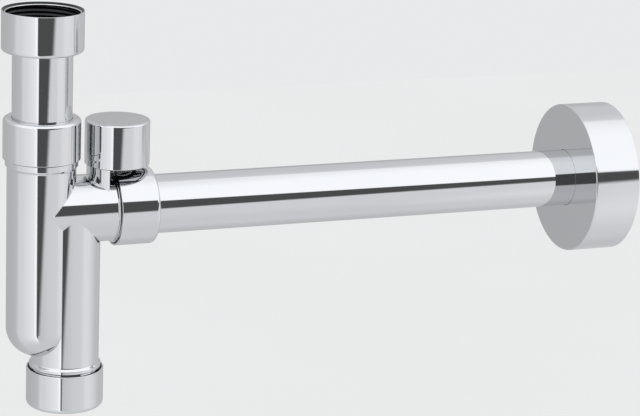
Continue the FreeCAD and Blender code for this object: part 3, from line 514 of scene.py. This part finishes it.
valveThread = threadOn(1, valveCap["inside"], valveCap["threadLow"], valveCap["threadHigh"], valveCap["threadDepth"],
                       valveCap["threadPitch"], valveCap["threadRows"])
fitPiece(turnedPiece("valveCap", valveCapCorners(valveCap), chrome, (valveX, 0, 0), steps=256,
                     threads=[valveThread], inner=boreMetalPaintedShade), "valve_cap", "valve_cap")

capWasher = {"bore": 12.1, "outside": 15.3, "low": -64.5, "high": -62.5, "edge": 0.3}
fitPiece(turnedPiece("valveCapWasher", ringCorners(capWasher), rubber, (valveX, 0, 0)),
         "valve_cap_washer", "valve_cap_washer")

# Heights of the next three pieces run from the seat.
insertWasher = {"bore": 6.5, "outside": 8.9, "low": 0.0, "high": 1.0, "edge": 0.2}
fitPiece(turnedPiece("insertWasher", ringCorners(insertWasher), rubber, (seatX, 0, seatLevel)),
         "valve_insert_washer", "trap_body")

membrane = {"bore": 1.0, "outside": 8.6, "low": 4.0, "high": 4.8, "edge": 0.3}
fitPiece(turnedPiece("valveMembrane", [
    (membrane["bore"], membrane["low"]), (membrane["outside"], membrane["low"], membrane["edge"]),
    (membrane["outside"], membrane["high"], membrane["edge"]), (membrane["bore"], membrane["high"])],
    rubber, (seatX, 0, seatLevel)), "valve_membrane", "valve_disc")

valveDisc = {"stem": 1.0, "stemFoot": -2.4, "stemRoot": 0.2, "plate": 7.8, "plateLow": 4.8, "plateHigh": 6.0,
             "button": 1.9, "buttonTop": 7.0, "smallEdge": 0.3, "edge": 0.4}


def discCorners(d):
    return [
        (0, d["stemFoot"]), (d["stem"], d["stemFoot"], d["smallEdge"]), (d["stem"], d["plateLow"], d["stemRoot"]),
        (d["plate"], d["plateLow"]), (d["plate"], d["plateHigh"], d["edge"]),
        (d["button"], d["plateHigh"], d["smallEdge"]), (d["button"], d["buttonTop"], d["edge"]), (0, d["buttonTop"])]


fitPiece(turnedPiece("valveDisc", discCorners(valveDisc), valvePlastic, (seatX, 0, seatLevel)),
         "valve_disc", "valve_disc")
for node in ("valve_insert", "valve_cage"):
    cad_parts[node].data.materials[0] = valvePlastic
print("stage: caps and valve made")


surfaces = []        # one row for each turned side or flat of the body: what its exact normal is worked out from


# The outline carried once round its axis as in turnedArrays, closed, in millimetres. Each face remembers the row of
# `surfaces` that it lies on.
def solidFromOutline(name, corners, centre=(0, 0, 0), turn=upright, steps=192, threads=()):
    vertices, faces, cornerNormals, owner, table = turnedArrays(corners, steps, threads, arcStep=6.0)
    points, before, after, tags = table
    first = len(surfaces)
    for row in range(len(points)):
        below = (row + 1) % len(points)
        surfaces.append({
            "turn": turn, "centre": np.array(centre, float), "start": points[row], "end": points[below],
            "startNormal": after[row], "endNormal": before[below],
            "bore": "Bore" in name or "air" in name,
            "thread": threads[tags[row]] if tags[row] >= 0 else None})
    return solidObject(name, vertices @ turn.T + np.array(centre, float), faces, owner + first)


# A plain box between two opposite corners, in millimetres, each of its six flats a row of `surfaces`.
def boxSolid(name, low, high):
    ends = list(zip(low, high))
    spots = np.array([(x, y, z) for x in ends[0] for y in ends[1] for z in ends[2]], float)
    faces = [[0, 1, 3, 2], [4, 6, 7, 5], [0, 4, 5, 1], [2, 3, 7, 6], [0, 2, 6, 4], [1, 5, 7, 3]]
    normals = [(-1, 0, 0), (1, 0, 0), (0, -1, 0), (0, 1, 0), (0, 0, -1), (0, 0, 1)]
    first = len(surfaces)
    surfaces.extend({"flat": np.array(normal, float)} for normal in normals)
    return solidObject(name, spots, faces, np.arange(len(faces)) + first)


def solidObject(name, vertices, faces, rows):
    mesh = bpy.data.meshes.new(name)
    mesh.from_pydata(vertices.tolist(), [], faces)
    mark = mesh.attributes.new("surfaceRow", "INT", "FACE")
    mark.data.foreach_set("value", rows.astype(np.int32))
    made = bpy.data.objects.new(name, mesh)
    bpy.context.collection.objects.link(made)
    return made


# Joins the tool to the target or cuts it away, and drops the tool.
def combine(target, tool, operation):
    modifier = target.modifiers.new("combine", "BOOLEAN")
    modifier.solver = "MANIFOLD"
    modifier.operation = operation
    modifier.object = tool
    seen = target.evaluated_get(bpy.context.evaluated_depsgraph_get())
    mesh = bpy.data.meshes.new_from_object(seen)
    target.modifiers.clear()
    old, target.data = target.data, mesh
    bpy.data.meshes.remove(old)
    toolMesh = tool.data
    bpy.data.objects.remove(tool)
    bpy.data.meshes.remove(toolMesh)


castBody = {
    "downLeg": 18.4, "downBottom": -188.8, "bottomRound": 16.2, "upLeg": 18.2, "upBore": 16.2, "branch": 18.3,
    # each shoulder: a straight band, a short cone to the leg, and under two of them a relief groove
    "shoulder": 19.4, "edge": 0.25, "inletBand": 3.2, "cleanBand": 1.6, "bandRound": 0.6, "flare": 1.3,
    "flareRound": 1.2, "branchBand": 0.35, "branchBandRound": 0.3, "branchFlare": 0.7, "branchFlareRound": 0.5,
    "branchShoulder": 38.5, "cleanShoulder": -195.8, "relief": 18.0, "reliefLength": 1.1,
    # spigots, their mouths and the room at both ends of their threads
    "spigotLength": 13.9, "cleanEnd": -212.9, "spigotEdge": 0.5, "mouth": 17.9, "mouthDepth": 3.2,
    "threadDepth": 0.8, "shoulderGap": 0.8, "reliefGap": 0.2, "tipGap": 0.6,
    "stopX": 33.4, "stopBore": 15.3,            # where the waste pipe stops
    # the valve cup; inside the first of these radii its underside takes painted shade
    "cupOutside": 15.3, "cupBore": 13.5, "cupFoot": -84.2, "cupShadeRadius": 11.0, "cupRim": -64.5, "cupEdge": 0.3,
    "cupRoot": 0.8, "cupThreadLow": -83.6, "cupThreadDepth": 0.5,
    "neckOutside": 16.2, "neckTop": -85.0, "neckCoreTop": -83.0, "neckEdge": 0.2, "neckFlat": 31.9, "airHole": 6.5,
    "crossingLow": -185.0, "crossingHigh": -173.0, "crossingWidth": 16.0,
    # the box that cuts the neck's flats, and how far a cutter reaches past the face that it opens
    "cutterSide": 30.0, "cutterLow": -130.0, "cutterHigh": -60.0, "cutterEnd": 70.0, "past": 1.0,
}


def spigotThread(b, low, high):
    return threadOn(-1, maleCrest, low, high, b["threadDepth"])


def flatCutter(name, b, start):
    return boxSolid(name, (start, -b["cutterSide"], b["cutterLow"]), (b["cutterEnd"], b["cutterSide"], b["cutterHigh"]))


def buildBody(b):
    inletTop = inletShoulder + b["spigotLength"]
    branchEnd = outletShoulder + b["spigotLength"]
    past = b["past"]
    cleanCone = b["cleanShoulder"] + b["cleanBand"]
    cleanRelief = b["cleanShoulder"] - b["reliefLength"]
    body = solidFromOutline("trapBody", [
        (0, branchLevel), (b["upLeg"], branchLevel), (b["upLeg"], cleanCone + b["flare"], b["flareRound"]),
        (b["shoulder"], cleanCone, b["bandRound"]), (b["shoulder"], b["cleanShoulder"], b["edge"]),
        (b["relief"], b["cleanShoulder"]), (b["relief"], cleanRelief), (maleCrest, cleanRelief),
        (maleCrest, b["cleanEnd"], b["spigotEdge"]), (0, b["cleanEnd"])],
        (risingLegX, 0, 0), threads=[spigotThread(b, b["cleanEnd"] + b["tipGap"], cleanRelief - b["reliefGap"])])

    branchCone = b["branchShoulder"] - b["branchBand"]
    branchRelief = b["branchShoulder"] + b["reliefLength"]
    combine(body, solidFromOutline("branch", [
        (0, 0), (b["branch"], 0), (b["branch"], branchCone - b["branchFlare"], b["branchFlareRound"]),
        (b["shoulder"], branchCone, b["branchBandRound"]), (b["shoulder"], b["branchShoulder"], b["edge"]),
        (b["relief"], b["branchShoulder"]), (b["relief"], branchRelief), (maleCrest, branchRelief),
        (maleCrest, branchEnd, b["spigotEdge"]), (0, branchEnd)], (0, 0, branchLevel), alongPipe,
        threads=[spigotThread(b, branchRelief + b["reliefGap"], branchEnd - b["tipGap"])]), "UNION")

    cupThread = threadOn(-1, b["cupOutside"], b["cupThreadLow"], b["cupRim"] - b["tipGap"], b["cupThreadDepth"],
                         valveCap["threadPitch"], valveCap["threadRows"])
    combine(body, solidFromOutline("valveCup", [
        (0, b["cupFoot"]), (b["cupShadeRadius"], b["cupFoot"]), (b["cupOutside"], b["cupFoot"], b["cupEdge"]),
        (b["cupOutside"], b["cupRim"], b["cupEdge"]), (b["cupBore"], b["cupRim"], b["cupEdge"]),
        (b["cupBore"], seatLevel, b["cupRoot"]), (0, seatLevel)], (valveX, 0, 0), threads=[cupThread]), "UNION")
    for outside, top in ((b["cupOutside"], b["neckCoreTop"]), (b["neckOutside"], b["neckTop"])):
        neck = solidFromOutline("neck", [
            (0, branchLevel), (outside, branchLevel), (outside, top, b["neckEdge"]), (0, top)], (valveX, 0, 0))
        combine(neck, flatCutter("neckFlat", b, b["stopX"]), "DIFFERENCE")
        combine(body, neck, "UNION")

    combine(body, solidFromOutline("upBore", [
        (0, branchLevel), (b["upBore"], branchLevel), (b["upBore"], b["cleanEnd"] - 2 * past),
        (0, b["cleanEnd"] - 2 * past)], (risingLegX, 0, 0)), "DIFFERENCE")
    mouthPast = b["mouth"] + past * (b["mouth"] - pipeHole) / b["mouthDepth"]
    combine(body, solidFromOutline("branchBore", [
        (0, risingLegX / 2), (b["stopBore"], risingLegX / 2), (b["stopBore"], b["stopX"]), (pipeHole, b["stopX"]),
        (pipeHole, branchEnd - b["mouthDepth"]), (mouthPast, branchEnd + past), (0, branchEnd + past)],
        (0, 0, branchLevel), alongPipe), "DIFFERENCE")
    airWay = solidFromOutline("airWay", [
        (0, branchLevel), (b["cupBore"], branchLevel), (b["cupBore"], seatLevel), (0, seatLevel)], (valveX, 0, 0))
    combine(airWay, flatCutter("airFlat", b, b["neckFlat"]), "DIFFERENCE")
    combine(body, airWay, "DIFFERENCE")

    inletCone = inletShoulder - b["inletBand"]
    combine(body, solidFromOutline("downLeg", [
        (0, inletTop), (maleCrest, inletTop, b["spigotEdge"]), (maleCrest, inletShoulder),
        (b["shoulder"], inletShoulder, b["edge"]), (b["shoulder"], inletCone, b["bandRound"]),
        (b["downLeg"], inletCone - b["flare"], b["flareRound"]),
        (b["downLeg"], b["downBottom"], b["bottomRound"]), (0, b["downBottom"])],
        threads=[spigotThread(b, inletShoulder + b["shoulderGap"], inletTop - b["tipGap"])]), "UNION")
    boreBottom = b["downBottom"] + b["downLeg"] - pipeHole
    combine(body, solidFromOutline("downBore", [
        (0, inletTop + past), (mouthPast, inletTop + past), (pipeHole, inletTop - b["mouthDepth"]),
        (pipeHole, boreBottom, pipeHole), (0, boreBottom)]), "DIFFERENCE")
    crossingHalf = b["crossingWidth"] / 2
    combine(body, boxSolid("crossing", (0, -crossingHalf, b["crossingLow"]),
                           (risingLegX + b["upLeg"] / 3, crossingHalf, b["crossingHigh"])), "DIFFERENCE")
    combine(body, solidFromOutline("airHole", [
        (0, b["cupFoot"] - past), (b["airHole"], b["cupFoot"] - past), (b["airHole"], seatLevel + past),
        (0, seatLevel + past)], (seatX, 0, 0), steps=96), "DIFFERENCE")
    return body


# One property of every face, corner or vertex, as an array.
def readRows(rows, key, width=1, kind=float):
    out = np.empty(len(rows) * width, kind)
    rows.foreach_get(key, out)
    return out.reshape(-1, width) if width > 1 else out


# The normal of every face corner, from the surface its face lies on: a turned side's normal runs evenly from one end
# of its outline's side to the other, a thread's comes from its slopes, and the mesh gives which way is out.
def exactNormals(mesh):
    totals = readRows(mesh.polygons, "loop_total", kind=np.int32)
    faceRows = readRows(mesh.attributes["surfaceRow"].data, "value", kind=np.int32)
    cornerRows = np.repeat(faceRows, totals)
    flatNormals = np.repeat(readRows(mesh.polygons, "normal", 3), totals, 0)
    spots = readRows(mesh.vertices, "co", 3)[readRows(mesh.loops, "vertex_index", kind=np.int32)]
    out = flatNormals.copy()
    for row in np.unique(faceRows):
        chosen = cornerRows == row
        surface = surfaces[row]
        if "flat" in surface:
            normal = np.broadcast_to(surface["flat"], (int(chosen.sum()), 3)).copy()
        else:
            local = (spots[chosen] - surface["centre"]) @ surface["turn"]
            radius = np.hypot(local[:, 0], local[:, 1])
            angle = np.arctan2(local[:, 1], local[:, 0])
            if surface["thread"]:
                outward = np.sign(surface["startNormal"][0])
                normal = threadNormals(angle, local[:, 2], radius, outward, surface["thread"])
            else:
                run = surface["end"] - surface["start"]
                part = (np.stack([radius, local[:, 2]], -1) - surface["start"]) @ run / (run @ run)
                part = part.clip(0, 1)[:, None]
                flat = normalised(surface["startNormal"] * (1 - part) + surface["endNormal"] * part)
                normal = np.stack([flat[:, 0] * np.cos(angle), flat[:, 0] * np.sin(angle), flat[:, 1]], -1)
            normal = normal @ surface["turn"].T
        flip = np.sum(normal * flatNormals[chosen], -1) < 0
        normal[flip] *= -1
        out[chosen] = normal
    return normalised(out)


# Faces that take the near-black bore metal: the bores, the flats inside, and the cup's underside round its air hole.
# Their dark colour is partly thin plating and partly painted shade of the hollows and of the dark under the cup.
def thinPlatingAndShadeFaces(mesh, sameLevel=0.1):
    faceRows = readRows(mesh.attributes["surfaceRow"].data, "value", kind=np.int32)
    centres = readRows(mesh.polygons, "center", 3)
    inward = np.array([
        "flat" in surface or surface["bore"] or surface["startNormal"][0] + surface["endNormal"][0] < facesAxis
        for surface in surfaces])
    shadeUnderCup = np.abs(centres[:, 2] - castBody["cupFoot"]) < sameLevel
    shadeUnderCup &= np.hypot(centres[:, 0] - valveX, centres[:, 1]) < castBody["cupShadeRadius"]
    return inward[faceRows] | shadeUnderCup


trapBody = buildBody(castBody)
bodyMesh = trapBody.data
bodyNormals = exactNormals(bodyMesh)
thinPlatingAndShade = thinPlatingAndShadeFaces(bodyMesh)
bodyMesh.vertices.foreach_set("co", readRows(bodyMesh.vertices, "co", 3).ravel() * mm)
bodyMesh.attributes.remove(bodyMesh.attributes["surfaceRow"])
bodyMesh.polygons.foreach_set("use_smooth", np.ones(len(bodyMesh.polygons), bool))
bodyMesh.normals_split_custom_set(bodyNormals.tolist())
bodyMesh.materials.clear()
bodyMesh.materials.append(castChrome)
# the second material paints shade into the bores, the inner flats and the underside of the cup
bodyMesh.materials.append(boreMetalPaintedShade)
bodyMesh.polygons.foreach_set("material_index", thinPlatingAndShade.astype(np.int32))
bodyMesh.update()
fitPiece(trapBody, "trap_body", "trap_body")
print("stage: cast body made,", len(bodyMesh.polygons), "faces")


# The studio and the camera are in metres, angles of the lamp in degrees.
studio = {
    "floorLevel": -1.5, "floorSide": 12.0, "floorColour": (0.86, 0.86, 0.86), "floorShade": 0.985, "floorScale": 1.5,
    "floorRough": 0.9, "skyColour": (0.985, 0.99, 1.0), "worldStrength": 0.72, "backdrop": 0.825,
    "lampStrength": 0.95, "lampSpread": 55, "lampTilt": (28, -12, 0),
    "tentRadius": 1.1, "tentDepth": 0.52, "tentCentre": (0.157, 0.0, -0.11),
}

floorMesh = bpy.data.meshes.new("studioFloor")
floorHalf = studio["floorSide"] / 2
floorMesh.from_pydata([(x * floorHalf, y * floorHalf, studio["floorLevel"])
                       for x, y in ((-1, -1), (1, -1), (1, 1), (-1, 1))], [], [[0, 1, 2, 3]])
floor = bpy.data.objects.new("studioFloor", floorMesh)
bpy.context.collection.objects.link(floor)
floorMaterial, tree, shader, place = startMaterial("paleFloor")
floorTone = noiseNode(tree, place, studio["floorScale"], detail=2.0)
shadedFloor = tuple(tone * studio["floorShade"] for tone in studio["floorColour"])
tree.links.new(colourBlend(tree, floorTone, studio["floorColour"], shadedFloor), shader.inputs["Base Color"])
shader.inputs["Roughness"].default_value = studio["floorRough"]
floorMesh.materials.append(floorMaterial)

world = bpy.data.worlds.new("studioWorld")
bpy.context.scene.world = world
world.use_nodes = True
sky = world.node_tree.nodes["Background"]
sky.inputs["Color"].default_value = (*studio["skyColour"], 1)
rays = world.node_tree.nodes.new("ShaderNodeLightPath")
seenLevel = world.node_tree.nodes.new("ShaderNodeMapRange")     # the camera sees the world as pale as the floor
seenLevel.inputs["To Min"].default_value = studio["worldStrength"]
seenLevel.inputs["To Max"].default_value = studio["backdrop"]
world.node_tree.links.new(rays.outputs["Is Camera Ray"], seenLevel.inputs["Value"])
world.node_tree.links.new(seenLevel.outputs["Result"], sky.inputs["Strength"])

lamp = bpy.data.lights.new("softLamp", "SUN")
lamp.energy = studio["lampStrength"]
lamp.angle = math.radians(studio["lampSpread"])
lampObject = bpy.data.objects.new("softLamp", lamp)
lampObject.rotation_euler = [math.radians(tilt) for tilt in studio["lampTilt"]]
lampObject.visible_glossy = False
bpy.context.collection.objects.link(lampObject)

# The light tent is what the polished chrome mirrors: white cloth all round, a brighter panel above the front, a greyer
# back, sewn seams, and the dark diamond opening that the camera looks in through. Angles are in degrees, azimuth from
# the x axis towards y, elevation up from level, both seen from the tent's centre. A pair ending in Band gives the
# elevations at which a change starts and ends, and one ending in Turn how far a direction points to the back, -1 to 1.
tent = {
    "openingLeft": -126.0, "openingFloor": -23.6, "floorRise": 0.38, "openingTop": 27.0, "topFrom": -83.0,
    "topFall": 0.37, "openingLevel": 0.10, "leftSoft": 0.9, "floorSoft": 2.8, "topSoft": 1.3,
    "tailWidth": 2.8, "tailFootBand": (-31.0, -30.0), "tailTopBand": (0.0, -10.0),
    "seamAt": -9.0, "seamCore": 1.02, "seamWidth": 3.4, "seamDepth": 0.36, "seamFootBand": (-17.0, -12.0),
    "seamTopBand": (16.0, 4.0),
    # walls level with the object: azimuth and brightness, one after the other
    "walls": ((-180, 0.94), (-172, 0.93), (-160, 1.01), (-145, 1.10), (-134, 1.18), (-130.5, 1.36), (-127, 1.36),
              (-124, 0.74), (-90, 0.88), (-58, 0.92), (-50, 1.01), (-40, 1.04), (-28, 1.02), (-18, 0.97), (-6, 0.89),
              (4, 0.81), (16, 0.73), (46, 0.67), (58, 0.55), (78, 0.5), (110, 0.56), (160, 0.68), (169, 0.71),
              (175, 0.83), (180, 0.94)),
    # panel overhead: how far it is to the back, and brightness
    "overhead": ((-1, 1.41), (-0.2, 1.40), (0, 1.34), (0.2, 1.24), (0.245, 1.16), (0.285, 0.92), (0.46, 0.82),
                 (1, 0.74)),
    "zenith": 0.88, "zenithBand": (64.0, 84.0),                             # share left straight above
    "frontBand": (8.0, 20.0), "backBand": (8.0, 30.0), "frontTurn": (0.0, -0.3),     # walls to overhead
    "under": 0.84, "underBack": 0.68, "underBand": (-26.0, -58.0), "underTurn": (-0.1, 0.5),     # cloth below
    "tint": (0.985, 0.992, 1.01),
}


def mathNode(tree, operation, *values):
    node = tree.nodes.new("ShaderNodeMath")
    node.operation = operation
    for socket, value in zip(node.inputs, values):
        if hasattr(value, "links"):
            tree.links.new(value, socket)
        else:
            socket.default_value = value
    return node.outputs[0]


# 0 before the first value of the span, 1 after the second, smooth between. A span may run downwards.
def stepNode(tree, value, span):
    node = tree.nodes.new("ShaderNodeMapRange")
    node.interpolation_type = "SMOOTHSTEP"
    node.inputs["From Min"].default_value = span[0]
    node.inputs["From Max"].default_value = span[1]
    tree.links.new(value, node.inputs["Value"])
    return node.outputs["Result"]


# Brightness as a curve through (value, level) points, straight between them.
def levelsNode(tree, value, levels):
    low, high = levels[0][0], levels[-1][0]
    node = tree.nodes.new("ShaderNodeValToRGB")
    ramp = node.color_ramp
    while len(ramp.elements) < len(levels):
        ramp.elements.new(0.5)
    for element, (spot, level) in zip(ramp.elements, levels):
        element.position = (spot - low) / (high - low)
    for element, (spot, level) in zip(ramp.elements, levels):
        element.color = (level, level, level, 1)
    share = mathNode(tree, "DIVIDE", mathNode(tree, "SUBTRACT", value, low), high - low)
    tree.links.new(share, node.inputs["Fac"])
    return node.outputs["Color"]


def tentMaterial(t):
    material = bpy.data.materials.new("tentCloth")
    material.use_nodes = True
    tree = material.node_tree
    tree.nodes.clear()

    def work(operation, *values):
        return mathNode(tree, operation, *values)

    def step(value, span):
        return stepNode(tree, value, span)

    def product(first, *others):
        for other in others:
            first = work("MULTIPLY", first, other)
        return first

    def length(*values):
        total = product(values[0], values[0])
        for value in values[1:]:
            total = work("ADD", total, product(value, value))
        return work("SQRT", total)

    def blend(factor, first, second):
        return work("ADD", product(first, work("SUBTRACT", 1.0, factor)), product(second, factor))

    place = tree.nodes.new("ShaderNodeTexCoord")
    split = tree.nodes.new("ShaderNodeSeparateXYZ")
    tree.links.new(place.outputs["Object"], split.inputs[0])
    x, y, z = split.outputs
    azimuth = work("DEGREES", work("ARCTAN2", y, x))
    elevation = work("DEGREES", work("ARCTAN2", z, length(x, y)))
    away = work("DIVIDE", y, length(x, y, z))

    walls = levelsNode(tree, azimuth, t["walls"])
    above = levelsNode(tree, away, t["overhead"])
    above = blend(step(elevation, t["zenithBand"]), above, product(above, t["zenith"]))
    below = blend(step(away, t["underTurn"]), t["under"], t["underBack"])
    # In front the wall gives way to the panel overhead lower down than at the back
    rise = blend(step(away, t["frontTurn"]), step(elevation, t["backBand"]), step(elevation, t["frontBand"]))
    level = blend(rise, walls, above)
    level = blend(step(elevation, t["underBand"]), level, below)
    off = work("ABSOLUTE", work("SUBTRACT", azimuth, t["seamAt"]))
    seam = product(step(off, (t["seamWidth"], t["seamCore"])), step(elevation, t["seamTopBand"]),
                   step(elevation, t["seamFootBand"]))
    level = product(level, work("SUBTRACT", 1.0, product(seam, t["seamDepth"])))

    # The opening: a sharp upright left side, a lower side that rises to the right and a top that falls to meet it
    aside = work("SUBTRACT", azimuth, t["openingLeft"])
    lower = work("ADD", product(aside, t["floorRise"]), t["openingFloor"])
    fall = product(work("SUBTRACT", azimuth, t["topFrom"]), t["topFall"])
    upper = work("SUBTRACT", t["openingTop"], work("MAXIMUM", fall, 0.0))
    leftSide = step(aside, (-t["leftSoft"], t["leftSoft"]))
    inside = product(leftSide, step(work("SUBTRACT", elevation, lower), (-t["floorSoft"], t["floorSoft"])),
                     step(work("SUBTRACT", upper, elevation), (-t["topSoft"], t["topSoft"])))
    # The cloths part a little further down, below its lower left corner
    tail = product(leftSide, step(aside, (t["tailWidth"] + t["leftSoft"], t["tailWidth"])),
                   step(elevation, t["tailFootBand"]), step(elevation, t["tailTopBand"]))
    level = blend(work("MAXIMUM", inside, tail), level, t["openingLevel"])

    glow = tree.nodes.new("ShaderNodeEmission")
    tint = tree.nodes.new("ShaderNodeCombineColor")
    for socket, share in zip(tint.inputs, t["tint"]):
        tree.links.new(product(level, share), socket)
    tree.links.new(tint.outputs[0], glow.inputs["Color"])
    out = tree.nodes.new("ShaderNodeOutputMaterial")
    tree.links.new(glow.outputs[0], out.inputs["Surface"])
    material.cycles.emission_sampling = "NONE"
    return material


# A globe: point (cos e cos a, cos e sin a, sin e) times the radius, with single points at the poles. The lower half
# is flattened to `depth`.
def tentMesh(radius, depth, columns=96, rows=48):
    a = np.linspace(0, 2 * np.pi, columns, endpoint=False)
    e = np.linspace(-np.pi / 2, np.pi / 2, rows + 1)[1:-1]
    rings = np.stack([np.outer(np.cos(e), np.cos(a)), np.outer(np.cos(e), np.sin(a)),
                      np.repeat(np.sin(e)[:, None], columns, 1)], -1).reshape(-1, 3)
    vertices = np.concatenate([rings, [(0, 0, -1)], [(0, 0, 1)]]) * radius
    vertices[:, 2] *= np.where(vertices[:, 2] < 0, depth / radius, 1.0)
    grid = np.arange(len(rings)).reshape(len(e), columns)
    right = np.roll(grid, -1, 1)
    faces = np.stack([grid[:-1], grid[1:], right[1:], right[:-1]], -1).reshape(-1, 4).tolist()
    faces += np.stack([grid[0], right[0], np.full(columns, len(rings))], -1).tolist()
    faces += np.stack([right[-1], grid[-1], np.full(columns, len(rings) + 1)], -1).tolist()
    mesh = bpy.data.meshes.new("lightTent")
    mesh.from_pydata(vertices.tolist(), [], faces)
    return mesh


lightTent = bpy.data.objects.new("lightTent", tentMesh(studio["tentRadius"], studio["tentDepth"]))
lightTent.location = studio["tentCentre"]
lightTent.data.materials.append(tentMaterial(tent))
for ray in ("camera", "diffuse", "transmission", "volume_scatter", "shadow"):
    setattr(lightTent, "visible_" + ray, False)
bpy.context.collection.objects.link(lightTent)


# Place and reach in metres, angles in radians, lens and sensor in millimetres.
photoView = {"place": (-0.34619, -1.25733, 0.25787), "yaw": 0.38241, "pitch": 0.27022, "roll": 0.04014,
             "lens": 142.54, "sensor": 36.0, "reach": 50.0}


# Looks along (sin yaw cos pitch, cos yaw cos pitch, -sin pitch), then rolls about that line.
def cameraMatrix(view):
    yaw, pitch, roll = view["yaw"], view["pitch"], view["roll"]
    ahead = np.array([math.sin(yaw) * math.cos(pitch), math.cos(yaw) * math.cos(pitch), -math.sin(pitch)])
    right = np.array([math.cos(yaw), -math.sin(yaw), 0.0])
    up = np.cross(right, ahead)
    c, s = math.cos(roll), math.sin(roll)
    matrix = np.eye(4)
    matrix[:3, :3] = np.stack([right * c + up * s, up * c - right * s, -ahead], -1)
    matrix[:3, 3] = view["place"]
    return Matrix(matrix.tolist())


camera = bpy.data.cameras.new("photoCamera")
camera.lens = photoView["lens"]
camera.sensor_width = photoView["sensor"]
camera.clip_end = photoView["reach"]
cameraObject = bpy.data.objects.new("photoCamera", camera)
cameraObject.matrix_world = cameraMatrix(photoView)
bpy.context.collection.objects.link(cameraObject)
bpy.context.scene.camera = cameraObject
bpy.context.scene.view_settings.view_transform = "Standard"
print("stage: studio made")
